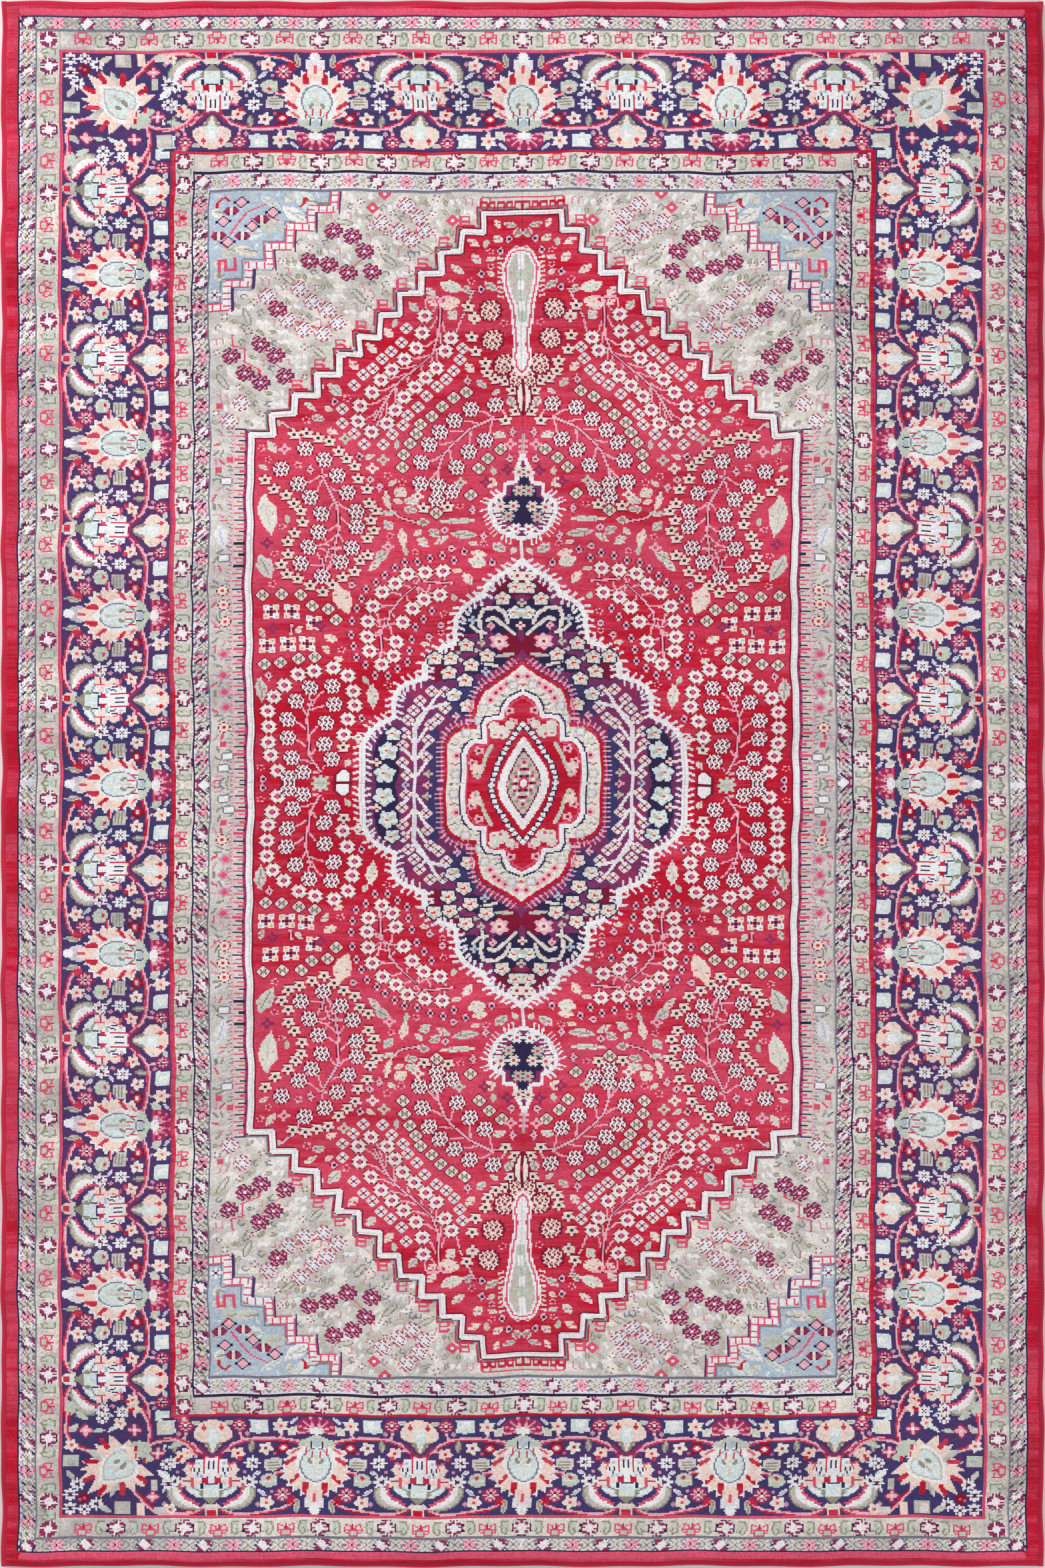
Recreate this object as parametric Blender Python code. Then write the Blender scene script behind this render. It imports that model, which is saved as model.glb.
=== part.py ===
"""Area rug with a stepped medallion field, seven borders and an overcast edge.

The rug is built up from the floor: a latex size coat, the woven foundation,
and on it the cut pile. The pile is divided where its design divides it, into
four strips for each border and into the stepped areas of the field. A cord
lies along each of the four edges, and overcasting yarn wraps the cord and the
edge of the foundation together.

Metres, +Z up. X is the width, Y the length, and the origin is the centre of
the underside. The pile is counted in knots: columns across, rows along.
"""

import math

import bpy

# ---------------------------------------------------------------- knots
COLUMN_PITCH = 0.00183
ROW_PITCH = 0.00162

# Width of each pile border in knots, from the outside in: columns, then rows.
BORDERS = (
    ("edge_band", 8, 7),
    ("outer_minor_guard", 11, 10),
    ("outer_guard", 15, 14),
    ("main_border", 70, 72),
    ("inner_guard", 14, 15),
    ("inner_minor_guard", 10, 13),
)
FIELD_HALF_COLUMNS = 196
FIELD_HALF_ROWS = 420

# The stepped outline of the field ground.
GROUND_TOP_COLUMNS = 24
GROUND_SIDE_COLUMNS = 170
GROUND_TOP_ROWS = 404
GROUND_BREAK_ROWS = 246
GROUND_STEPS = 11

# The stepped corner pieces, measured inwards from the field's corner.
CORNER_COLUMNS = 80
CORNER_ROWS = 86
CORNER_STEPS = 6

# Half width in columns, half length in rows and tiers of the nested shapes.
MEDALLION = (101, 160, 8)
CARTOUCHE = (53, 86, 6)
MANDORLA = (19, 43, 5)
PENDANT = (22, 33, 5)
PENDANT_CENTRE_ROWS = 200

# ---------------------------------------------------------------- layers
CLEARANCE = 0.0003
HALF_GAP = CLEARANCE / 2
SIZE_COAT_THICKNESS = 0.0010
FOUNDATION_THICKNESS = 0.0018
PILE_HEIGHT = 0.0056

# ---------------------------------------------------------------- edge
CORD_DIAMETER = 0.0024
CORD_SIDES = 16
OVERCAST_THICKNESS = 0.0007
OVERCAST_WIDTH = 0.0065
OVERCAST_ARC_STEPS = 12

# Derived levels and places.
CAVITY = max(CORD_DIAMETER, FOUNDATION_THICKNESS) + 2 * CLEARANCE
NOSE_RADIUS = CAVITY / 2 + OVERCAST_THICKNESS
FOUNDATION_BASE = max(
    SIZE_COAT_THICKNESS + CLEARANCE,
    OVERCAST_THICKNESS + (CAVITY - FOUNDATION_THICKNESS) / 2,
)
FOUNDATION_MIDDLE = FOUNDATION_BASE + FOUNDATION_THICKNESS / 2
FOUNDATION_TOP = FOUNDATION_BASE + FOUNDATION_THICKNESS
PILE_BASE = FOUNDATION_TOP + CLEARANCE
FOUNDATION_INSET = NOSE_RADIUS + CORD_DIAMETER / 2 + CLEARANCE
OVERCAST_REACH = max(OVERCAST_WIDTH, FOUNDATION_INSET + CLEARANCE)
PILE_INSET = OVERCAST_REACH + CLEARANCE

HALF_COLUMNS = FIELD_HALF_COLUMNS + sum(columns for _, columns, _ in BORDERS)
HALF_ROWS = FIELD_HALF_ROWS + sum(rows for _, _, rows in BORDERS)
HALF_WIDTH = HALF_COLUMNS * COLUMN_PITCH + PILE_INSET
HALF_LENGTH = HALF_ROWS * ROW_PITCH + PILE_INSET

COLOURS = {
    "latex_grey": (0.46, 0.43, 0.38, 0.75),
    "foundation_cotton": (0.62, 0.55, 0.43, 0.95),
    "cord_cotton": (0.60, 0.52, 0.40, 0.95),
    "overcast_red": (0.42, 0.02, 0.06, 0.85),
    "pile_crimson": (0.55, 0.03, 0.09, 0.90),
    "pile_lilac": (0.62, 0.56, 0.60, 0.90),
    "pile_cream": (0.60, 0.55, 0.48, 0.90),
    "pile_navy": (0.05, 0.035, 0.15, 0.90),
    "pile_sky": (0.40, 0.50, 0.58, 0.90),
    "pile_beige": (0.52, 0.48, 0.40, 0.90),
    "pile_ivory": (0.74, 0.69, 0.62, 0.90),
}
BORDER_COLOURS = {
    "edge_band": "pile_crimson",
    "outer_minor_guard": "pile_lilac",
    "outer_guard": "pile_cream",
    "main_border": "pile_navy",
    "inner_guard": "pile_cream",
    "inner_minor_guard": "pile_lilac",
}


def clear_scene():
    """Remove every object that the start-up scene brought."""
    for item in list(bpy.data.objects):
        bpy.data.objects.remove(item, do_unlink=True)


def make_collection(name):
    """A collection in the scene that holds what belongs together."""
    group = bpy.data.collections.new(name)
    bpy.context.scene.collection.children.link(group)
    return group


def make_material(name):
    """A Principled material with the finish of one yarn or coat."""
    red, green, blue, roughness = COLOURS[name]
    material = bpy.data.materials.new(name)
    material.use_nodes = True
    shader = material.node_tree.nodes["Principled BSDF"]
    shader.inputs["Base Color"].default_value = (red, green, blue, 1.0)
    shader.inputs["Roughness"].default_value = roughness
    shader.inputs["Metallic"].default_value = 0.0
    material.diffuse_color = (red, green, blue, 1.0)
    return material


def keep(item, name, material, group):
    """Name an object, give it its material and file it in its collection."""
    item.name = name
    item.data.name = name
    item.data.materials.clear()
    item.data.materials.append(material)
    for other in list(item.users_collection):
        other.objects.unlink(item)
    group.objects.link(item)
    return item


def add_block(name, low, high, material, group):
    """A box between two opposite corners, from the cube primitive."""
    centre = [(a + b) / 2 for a, b in zip(low, high)]
    bpy.ops.mesh.primitive_cube_add(size=1.0, location=centre)
    item = bpy.context.object
    item.scale = [b - a for a, b in zip(low, high)]
    bpy.ops.object.transform_apply(location=False, rotation=False, scale=True)
    return keep(item, name, material, group)


def add_outline(name, points, thickness, material, group):
    """A flat outline in its own XY plane, thickened evenly to both sides."""
    outline = bpy.data.curves.new(name, "CURVE")
    outline.dimensions = "2D"
    outline.fill_mode = "BOTH"
    outline.extrude = thickness / 2
    spline = outline.splines.new("POLY")
    spline.points.add(len(points) - 1)
    for point, (x, y) in zip(spline.points, points):
        point.co = (x, y, 0.0, 1.0)
    spline.use_cyclic_u = True
    item = bpy.data.objects.new(name, outline)
    bpy.context.scene.collection.objects.link(item)
    return keep(item, name, material, group)


def add_pile(name, points, material, group):
    """A stepped area of pile, standing on the foundation."""
    item = add_outline(name, points, PILE_HEIGHT, material, group)
    item.location.z = PILE_BASE + PILE_HEIGHT / 2
    return item


# ---------------------------------------------------------------- outlines
def stair(first, last, steps):
    """Corners of an even staircase, in whole knots, from first to last.

    Tread k ends at the point a share k / steps of the way between the ends.
    """
    turns = []
    for step in range(steps + 1):
        share = step / steps
        column = round(first[0] + share * (last[0] - first[0]))
        row = round(first[1] + share * (last[1] - first[1]))
        turns.append((column, row))
    return turns


def tiers(half_columns, half_rows, count):
    """Tiers of a pointed medallion: widest at the middle, one knot row at
    the tip. The half width falls as one less the height share to a power."""
    spread = 1.3
    shoulder = 0.14
    turns = []
    for tier in range(count):
        share = tier / count
        row = half_rows * (shoulder + (1 - shoulder) * (tier + 1) / count)
        turns.append((round(half_columns * (1 - share**spread)), round(row)))
    return turns


def stepped_path(turns, grow):
    """The corner points, in metres, of tiers that climb as they narrow."""
    path = []
    previous_row = None
    for column, row in turns:
        x = column * COLUMN_PITCH + grow
        if previous_row is not None:
            path.append((x, previous_row * ROW_PITCH + grow))
        path.append((x, row * ROW_PITCH + grow))
        previous_row = row
    return path


def lens(turns, grow):
    """A whole shape from the tiers of its quarter, mirrored both ways."""
    quarter = stepped_path(turns, grow)
    half = quarter + [(-x, y) for x, y in reversed(quarter)]
    return half + [(-x, -y) for x, y in half]


def arch(outer, inner):
    """Half a ring: outer tiers out to a gap from the middle, inner back."""
    outside = stepped_path(outer, -HALF_GAP)
    inside = stepped_path(inner, HALF_GAP)
    outside = [(outside[0][0], HALF_GAP)] + outside
    inside = [(inside[0][0], HALF_GAP)] + inside
    points = outside + [(-x, y) for x, y in reversed(outside)]
    return points + [(-x, y) for x, y in inside] + inside[::-1]


def ground_turns():
    """Tiers of the field ground, widest first."""
    high = (GROUND_TOP_COLUMNS, GROUND_TOP_ROWS)
    low = (GROUND_SIDE_COLUMNS, GROUND_BREAK_ROWS)
    return list(reversed(stair(high, low, GROUND_STEPS)))


def corner_turns():
    """Tiers of the corner piece's stepped side, widest first."""
    low = (FIELD_HALF_COLUMNS, FIELD_HALF_ROWS - CORNER_ROWS)
    high = (FIELD_HALF_COLUMNS - CORNER_COLUMNS, FIELD_HALF_ROWS)
    return stair(low, high, CORNER_STEPS)


def placed(points, across, along):
    """The points mirrored to the side that across and along name, still
    listed the same way round."""
    mirrored = [(across * x, along * y) for x, y in points]
    return mirrored if across * along > 0 else mirrored[::-1]


# ---------------------------------------------------------------- pieces
def make_base(materials, group):
    """The size coat on the back and the woven foundation above it."""
    coat_x = HALF_WIDTH - PILE_INSET
    coat_y = HALF_LENGTH - PILE_INSET
    coat_top = FOUNDATION_BASE - CLEARANCE
    coat_low = coat_top - SIZE_COAT_THICKNESS
    add_block("size_coat", (-coat_x, -coat_y, coat_low),
              (coat_x, coat_y, coat_top), materials["latex_grey"], group)
    web_x = HALF_WIDTH - FOUNDATION_INSET
    web_y = HALF_LENGTH - FOUNDATION_INSET
    add_block("woven_foundation", (-web_x, -web_y, FOUNDATION_BASE),
              (web_x, web_y, FOUNDATION_TOP),
              materials["foundation_cotton"], group)


def overcast_section():
    """The hook-shaped section of the wrap: X runs in from the outer edge."""
    outer, inner = [], []
    for step in range(OVERCAST_ARC_STEPS + 1):
        angle = math.pi / 2 + math.pi * step / OVERCAST_ARC_STEPS
        reach, rise = math.cos(angle), math.sin(angle)
        outer.append((NOSE_RADIUS * (1 + reach), NOSE_RADIUS * rise))
        inner.append((NOSE_RADIUS + CAVITY / 2 * reach, CAVITY / 2 * rise))
    top = [(OVERCAST_REACH, CAVITY / 2), (OVERCAST_REACH, NOSE_RADIUS)]
    low = [(OVERCAST_REACH, -NOSE_RADIUS), (OVERCAST_REACH, -CAVITY / 2)]
    return top + outer + low + list(reversed(inner))


def make_edge(side, turn, reach, half_run, materials, group):
    """One edge's overcasting and the cord that it wraps.

    reach is the distance from the centre to the edge's outer face, turn the
    angle from +X to the edge, and half_run half the length of the edge.
    """
    wrap = add_outline("overcasting_" + side, overcast_section(),
                       2 * half_run, materials["overcast_red"], group)
    inward = turn + math.pi
    wrap.rotation_euler = (math.pi / 2, 0.0, inward)
    wrap.location = (reach * math.cos(turn), reach * math.sin(turn),
                     FOUNDATION_MIDDLE)
    line = reach - NOSE_RADIUS
    bpy.ops.mesh.primitive_cylinder_add(
        vertices=CORD_SIDES, radius=CORD_DIAMETER / 2, depth=2 * half_run,
        location=(line * math.cos(turn), line * math.sin(turn),
                  FOUNDATION_MIDDLE),
        rotation=(math.pi / 2, 0.0, turn))
    cord = keep(bpy.context.object, "edge_cord_" + side,
                materials["cord_cotton"], group)
    cord.data.shade_smooth()
    cord.data.set_sharp_from_angle(angle=math.radians(40))


def make_edges(materials, group):
    """Side edges run the whole length; end edges fit between them."""
    end_run = HALF_WIDTH - PILE_INSET
    for side, turn, reach, half_run in (
        ("right", 0.0, HALF_WIDTH, HALF_LENGTH),
        ("left", math.pi, HALF_WIDTH, HALF_LENGTH),
        ("far", math.pi / 2, HALF_LENGTH, end_run),
        ("near", -math.pi / 2, HALF_LENGTH, end_run),
    ):
        make_edge(side, turn, reach, half_run, materials, group)


def make_borders(materials, group):
    """Four strips of pile for each border; the side strips hold the corners."""
    outer_x = HALF_COLUMNS * COLUMN_PITCH
    outer_y = HALF_ROWS * ROW_PITCH
    pile_top = PILE_BASE + PILE_HEIGHT
    for border, columns, rows in BORDERS:
        inner_x = outer_x - columns * COLUMN_PITCH
        inner_y = outer_y - rows * ROW_PITCH
        material = materials[BORDER_COLOURS[border]]
        for side, sign in (("right", 1), ("left", -1)):
            span = sorted((sign * (inner_x + HALF_GAP),
                           sign * (outer_x - HALF_GAP)))
            add_block(f"pile_{border}_{side}",
                      (span[0], -outer_y + HALF_GAP, PILE_BASE),
                      (span[1], outer_y - HALF_GAP, pile_top),
                      material, group)
        for side, sign in (("far", 1), ("near", -1)):
            span = sorted((sign * (inner_y + HALF_GAP),
                           sign * (outer_y - HALF_GAP)))
            add_block(f"pile_{border}_{side}",
                      (-inner_x + HALF_GAP, span[0], PILE_BASE),
                      (inner_x - HALF_GAP, span[1], pile_top),
                      material, group)
        outer_x, outer_y = inner_x, inner_y


def spandrel_outline():
    """One spandrel: between the field ground's stair and the corner's."""
    edge_x = FIELD_HALF_COLUMNS * COLUMN_PITCH - HALF_GAP
    edge_y = FIELD_HALF_ROWS * ROW_PITCH - HALF_GAP
    ground = stepped_path(ground_turns(), HALF_GAP)
    corner = corner_stair(-HALF_GAP)
    points = [(ground[0][0], HALF_GAP)] + ground
    points += [(HALF_GAP, ground[-1][1]), (HALF_GAP, edge_y)]
    points += [(corner[-1][0], edge_y)] + corner[::-1]
    return points + [(edge_x, corner[0][1]), (edge_x, HALF_GAP)]


def corner_stair(grow):
    """The corner piece's stair, without its ends on the field's edges."""
    return stepped_path(corner_turns(), grow)[1:-1]


def corner_outline():
    """One corner piece, out to the field's two edges."""
    edge_x = FIELD_HALF_COLUMNS * COLUMN_PITCH - HALF_GAP
    edge_y = FIELD_HALF_ROWS * ROW_PITCH - HALF_GAP
    stairs = corner_stair(HALF_GAP)
    points = [(edge_x, stairs[0][1])] + stairs
    return points + [(stairs[-1][0], edge_y), (edge_x, edge_y)]


def ground_outline():
    """A quarter of the field ground: its stair outside, the pendant and the
    medallion left out along the rug's middle line."""
    outside = stepped_path(ground_turns(), -HALF_GAP)
    centre = PENDANT_CENTRE_ROWS * ROW_PITCH
    drop = stepped_path(tiers(*PENDANT), HALF_GAP)
    tip = drop[-1][1]
    medallion = stepped_path(tiers(*MEDALLION), HALF_GAP)
    points = [(outside[0][0], HALF_GAP)] + outside
    points += [(HALF_GAP, outside[-1][1]), (HALF_GAP, centre + tip)]
    points += [(x, centre + y) for x, y in drop[::-1]]
    points += [(x, centre - y) for x, y in drop]
    points += [(HALF_GAP, centre - tip), (HALF_GAP, medallion[-1][1])]
    return points + medallion[::-1] + [(medallion[0][0], HALF_GAP)]


def make_quadrants(materials, group):
    """What lies in each quarter of the field, outside the medallion."""
    shapes = (
        ("corner", corner_outline(), "pile_sky"),
        ("spandrel", spandrel_outline(), "pile_beige"),
        ("field_ground", ground_outline(), "pile_crimson"),
    )
    for along, end in ((1, "far"), (-1, "near")):
        for across, side in ((1, "right"), (-1, "left")):
            for name, outline, colour in shapes:
                add_pile(f"pile_{name}_{end}_{side}",
                         placed(outline, across, along),
                         materials[colour], group)


def make_middle(materials, group):
    """The pendants and the nested shapes of the medallion."""
    medallion = tiers(*MEDALLION)
    cartouche = tiers(*CARTOUCHE)
    mandorla = tiers(*MANDORLA)
    for sign, end in ((1, "far"), (-1, "near")):
        add_pile(f"pile_medallion_ring_{end}",
                 placed(arch(medallion, cartouche), 1, sign),
                 materials["pile_navy"], group)
        add_pile(f"pile_cartouche_{end}",
                 placed(arch(cartouche, mandorla), 1, sign),
                 materials["pile_crimson"], group)
        drop = add_pile(f"pile_pendant_{end}",
                        lens(tiers(*PENDANT), -HALF_GAP),
                        materials["pile_navy"], group)
        drop.location.y = sign * PENDANT_CENTRE_ROWS * ROW_PITCH
    add_pile("pile_mandorla", lens(mandorla, -HALF_GAP),
             materials["pile_ivory"], group)


def main():
    clear_scene()
    group = make_collection("area_rug")
    materials = {name: make_material(name) for name in COLOURS}
    make_base(materials, group)
    make_edges(materials, group)
    make_borders(materials, group)
    make_quadrants(materials, group)
    make_middle(materials, group)


main()
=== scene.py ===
"""The looks of a knotted wool rug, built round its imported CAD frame.

Lengths are in metres unless a name says knots. X runs across the rug, Y along
it and Z up. The pile is a chart of knots, HALF_COLUMNS and HALF_ROWS out from
the middle each way, and each CAD pile node is remade as a surface with one
raised square for each of its knots.
"""

import math

import bpy
import numpy as np
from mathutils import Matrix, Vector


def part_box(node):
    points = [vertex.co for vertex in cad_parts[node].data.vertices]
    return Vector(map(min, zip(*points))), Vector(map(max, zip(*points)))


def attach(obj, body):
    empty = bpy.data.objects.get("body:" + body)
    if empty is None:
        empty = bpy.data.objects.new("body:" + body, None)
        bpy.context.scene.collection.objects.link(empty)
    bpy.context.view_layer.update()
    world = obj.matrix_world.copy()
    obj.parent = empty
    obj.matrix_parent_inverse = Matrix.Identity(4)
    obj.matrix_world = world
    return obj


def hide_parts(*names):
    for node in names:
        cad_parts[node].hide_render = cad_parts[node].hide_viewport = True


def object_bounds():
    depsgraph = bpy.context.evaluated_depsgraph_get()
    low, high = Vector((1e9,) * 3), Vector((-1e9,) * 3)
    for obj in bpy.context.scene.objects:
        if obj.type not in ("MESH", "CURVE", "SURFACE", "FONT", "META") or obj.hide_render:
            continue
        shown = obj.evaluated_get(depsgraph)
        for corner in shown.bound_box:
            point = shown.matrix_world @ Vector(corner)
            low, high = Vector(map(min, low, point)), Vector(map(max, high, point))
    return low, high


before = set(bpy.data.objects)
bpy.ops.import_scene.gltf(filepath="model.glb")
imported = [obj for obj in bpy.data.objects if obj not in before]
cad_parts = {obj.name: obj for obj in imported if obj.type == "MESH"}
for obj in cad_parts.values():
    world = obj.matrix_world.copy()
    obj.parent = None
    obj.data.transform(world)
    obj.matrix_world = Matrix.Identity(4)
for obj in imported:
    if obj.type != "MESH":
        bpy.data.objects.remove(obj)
CAD_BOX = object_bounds()

bl_info = {
    "name": "Knotted Rug Finish",
    "version": (1, 0, 0),
    "blender": (4, 5, 0),
    "location": "3D View > Sidebar > Rug",
    "description": "Pile, edges, backing and studio for a knotted rug",
    "category": "Object",
}

HALF_COLUMNS = 324
HALF_ROWS = 551
SIDES = ("right", "left", "far", "near")
GROUND_YARNS = {"pile_edge_band": "crimson", "pile_outer_minor_guard": "lilac",
                "pile_inner_minor_guard": "lilac", "pile_outer_guard": "cream",
                "pile_inner_guard": "cream", "pile_main_border": "navy",
                "pile_spandrel": "beige", "pile_corner": "sky",
                "pile_field_ground": "crimson", "pile_medallion_ring": "violet",
                "pile_cartouche": "crimson", "pile_pendant": "violet",
                "pile_mandorla": "ivory"}
SLOTS = {name: ("navy" if yarn == "violet" else yarn) + "_pile"
         for name, yarn in GROUND_YARNS.items()}
PILE_NODES = sorted(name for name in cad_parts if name.startswith("pile_"))
COLUMN_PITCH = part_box("pile_edge_band_right")[1][0] / HALF_COLUMNS
ROW_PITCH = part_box("pile_edge_band_far")[1][1] / HALF_ROWS
PILE_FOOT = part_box("pile_mandorla")[0][2]
PILE_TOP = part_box("pile_mandorla")[1][2]
HALF_WIDTH = CAD_BOX[1][0]
HALF_LENGTH = CAD_BOX[1][1]
SKIRT_KNOTS = 3.4  # depth of the pile's skirt on the UV map, in knots
WRAP_REACH = 0.0065  # how far the overcasting reaches in from the outline
WRAP_THICKNESS = 0.000735
NOSE_SHOULDER = 0.001  # length of the last flat step before the nose
NOSE_STEPS = 6
STEPS_PER_TURN = 3
CORD_STEP = 0.0018
CORD_SIDES = 10
CORD_LAY = 0.009
PLY_DEPTH = 0.1  # depth of the groove between plies, as a share of the radius
FLOOR_DROP = 0.0002


def linear(*levels):
    """Display levels from 0 to 255 as linear light, by the sRGB curve."""
    share = np.array(levels, dtype=float) / 255
    return np.where(share <= 0.04045, share / 12.92, ((share + 0.055) / 1.055) ** 2.4)


def yarn_colour(name, use, *levels):
    """A colour property, whose default is given in display levels."""
    return bpy.props.FloatVectorProperty(
        name=name, description=use, default=tuple(linear(*levels)), size=3,
        min=0.0, max=1.0, subtype="COLOR")


class RugYarns(bpy.types.PropertyGroup):
    """The dyed yarns of the pile."""

    crimson: yarn_colour("Crimson", "Field, cartouche and edge band", 190, 16, 46)
    rose: yarn_colour("Rose", "Faded crimson, vines and hooks", 222, 84, 114)
    pink: yarn_colour("Pink", "Vines and petals", 238, 176, 190)
    blush: yarn_colour("Blush", "Peach petals", 243, 214, 203)
    plum: yarn_colour("Plum", "Rosettes and bow ties", 150, 48, 92)
    wine: yarn_colour("Wine", "Shading beside pale shapes", 128, 18, 50)
    navy: yarn_colour("Navy", "Ground of the main border", 62, 56, 106)
    ink: yarn_colour("Ink", "Dark outlines and eyes", 46, 36, 74)
    violet: yarn_colour("Violet", "Ground of the medallion", 118, 50, 100)
    white: yarn_colour("White", "Petals and outlines", 240, 236, 238)
    ivory: yarn_colour("Ivory", "Pale flowers", 234, 226, 218)
    cream: yarn_colour("Cream", "Ground of the guards", 231, 222, 213)
    beige: yarn_colour("Beige", "Ground of the spandrels", 217, 211, 205)
    greige: yarn_colour("Greige", "Leaves", 194, 188, 178)
    sage: yarn_colour("Sage", "Grey-green leaves", 196, 203, 190)
    taupe: yarn_colour("Taupe", "Stalks and shaded leaves", 150, 144, 128)
    grey: yarn_colour("Grey", "Fine lines", 132, 130, 140)
    lilac: yarn_colour("Lilac", "Ground of the minor guards", 236, 230, 237)
    sky: yarn_colour("Sky", "Ground of the corners", 180, 193, 207)
    aqua: yarn_colour("Aqua", "Pale blue flowers", 216, 227, 226)
    mauve: yarn_colour("Mauve", "Soft pink petals", 210, 150, 170)


YARN_NAMES = list(RugYarns.__annotations__)
YARN_INDEX = {name: index for index, name in enumerate(YARN_NAMES)}


class RugSizes(bpy.types.PropertyGroup):
    """Sizes of the pile's relief and of the edge finish."""

    tuft_unevenness: bpy.props.FloatProperty(
        name="Tuft unevenness", description="How far knots stand over or under the cut",
        default=0.00028, min=0.0, unit="LENGTH")
    ripple_height: bpy.props.FloatProperty(
        name="Ripple height", description="Height of the slow waves in the pile",
        default=0.0036, min=0.0, unit="LENGTH")
    drift: bpy.props.FloatProperty(
        name="Drift", description="How far the weaving carries a line to one side",
        default=0.0024, min=0.0, unit="LENGTH")
    wrap_pitch: bpy.props.FloatProperty(
        name="Wrap pitch", description="Distance between the turns of overcasting",
        default=0.0022, min=0.0005, unit="LENGTH")
    wrap_depth: bpy.props.FloatProperty(
        name="Wrap depth", description="Depth of the groove between two turns",
        default=0.00035, min=0.0, unit="LENGTH")
    # Sets the dye-lot bands and also the painted nap sheen, which pulls the crimson, violet and
    # navy grounds towards paler yarns in slow patches.
    dye_and_nap_sheen: bpy.props.FloatProperty(
        name="Dye and nap sheen", description="Strength of the bands where the dye lot changes",
        default=0.75, min=0.0, max=1.0, subtype="FACTOR")
    yarn_grain: bpy.props.FloatProperty(
        name="Yarn grain", description="Lightness that differs from knot to knot",
        default=0.1, min=0.0, max=1.0, subtype="FACTOR")

class Cartoon:
    """A knot chart: one yarn for each crossing of a column and a row.

    across and along hold the place of each column and row, in knots. Shapes
    are painted one over another, each as a test on those two values.
    """

    def __init__(self, across, along, ground):
        self.across = np.asarray(across, dtype=float)
        self.along = np.asarray(along, dtype=float)
        self.ink = np.full((len(along), len(across)), YARN_INDEX[ground])

    def paint(self, box, test, yarn):
        """Tie yarn in each knot of the box whose place passes the test."""
        low_x, low_y, high_x, high_y = box
        columns = np.flatnonzero((self.across >= low_x) & (self.across <= high_x))
        rows = np.flatnonzero((self.along >= low_y) & (self.along <= high_y))
        if not len(columns) or not len(rows):
            return
        x, y = np.meshgrid(self.across[columns], self.along[rows])
        window = np.ix_(rows, columns)
        self.ink[window] = np.where(test(x, y), YARN_INDEX[yarn], self.ink[window])

    def box(self, low_x, low_y, high_x, high_y, yarn):
        """A rectangle of one yarn."""
        self.paint((low_x, low_y, high_x, high_y), lambda x, y: x == x, yarn)

    def oval(self, x0, y0, reach_x, reach_y, yarn, turn=0.0):
        """An ellipse: its two turned distances, as shares, square to one."""
        reach = max(reach_x, reach_y)
        cos, sin = math.cos(turn), math.sin(turn)

        def inside(x, y):
            across = ((x - x0) * cos + (y - y0) * sin) / reach_x
            along = ((y - y0) * cos - (x - x0) * sin) / reach_y
            return across**2 + along**2 <= 1

        self.paint((x0 - reach, y0 - reach, x0 + reach, y0 + reach), inside, yarn)

    def star(self, x0, y0, reach, lobes, depth, yarn, phase=0.0):
        """A lobed disc: the radius swells as the cosine of lobes times the
        angle, by depth, a share of the reach."""

        def inside(x, y):
            angle = np.arctan2(y - y0, x - x0) - phase
            edge = reach * (1 - depth / 2 + depth / 2 * np.cos(lobes * angle))
            return np.hypot(x - x0, y - y0) <= edge

        self.paint((x0 - reach, y0 - reach, x0 + reach, y0 + reach), inside, yarn)

    def lozenge(self, x0, y0, reach_x, reach_y, yarn):
        """A diamond: the shares of the two reaches add up to one."""

        def inside(x, y):
            return abs(x - x0) / reach_x + abs(y - y0) / reach_y <= 1

        box = (x0 - reach_x, y0 - reach_y, x0 + reach_x, y0 + reach_y)
        self.paint(box, inside, yarn)

    def shape(self, points, yarn):
        """A polygon, filled where a ray crosses its sides an odd number of
        times."""
        xs, ys = zip(*points)

        def inside(x, y):
            odd = np.zeros(x.shape, dtype=bool)
            for (ax, ay), (bx, by) in zip(points, points[1:] + points[:1]):
                if ay == by:
                    continue
                crossing = (ay > y) != (by > y)
                odd ^= crossing & (x < (bx - ax) * (y - ay) / (by - ay) + ax)
            return odd

        self.paint((min(xs), min(ys), max(xs), max(ys)), inside, yarn)

    def line(self, points, width, yarn):
        """A path: every knot nearer to a straight run than half the width."""
        for (ax, ay), (bx, by) in zip(points, points[1:]):
            length = max((bx - ax) ** 2 + (by - ay) ** 2, 1e-9)

            def near(x, y):
                share = ((x - ax) * (bx - ax) + (y - ay) * (by - ay)) / length
                share = np.clip(share, 0, 1)
                gap_x = x - ax - share * (bx - ax)
                gap_y = y - ay - share * (by - ay)
                return np.hypot(gap_x, gap_y) <= width / 2

            half = width / 2
            box = (min(ax, bx) - half, min(ay, by) - half,
                   max(ax, bx) + half, max(ay, by) + half)
            self.paint(box, near, yarn)

    def dots(self, places, yarn, size=0.6):
        """Single knots at each place."""
        for x0, y0 in places:
            self.box(x0 - size, y0 - size, x0 + size, y0 + size, yarn)

    def outline(self, points, width, edge, fill):
        """A filled polygon with a border of another yarn."""
        self.shape(points, fill)
        self.line(points + points[:1], width, edge)


def circle_points(x0, y0, reach, count, phase=0.0):
    """Points evenly spaced round a circle."""
    turns = phase + np.arange(count) * 2 * math.pi / count
    return [(x0 + reach * math.cos(a), y0 + reach * math.sin(a)) for a in turns]


def along_path(points, count):
    """Points evenly spaced along a path, its ends included."""
    points = np.asarray(points, dtype=float)
    steps = np.hypot(*np.diff(points, axis=0).T)
    reach = np.concatenate([[0], np.cumsum(steps)])
    want = np.linspace(0, reach[-1], count)
    return list(zip(np.interp(want, reach, points[:, 0]),
                    np.interp(want, reach, points[:, 1])))


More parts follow.
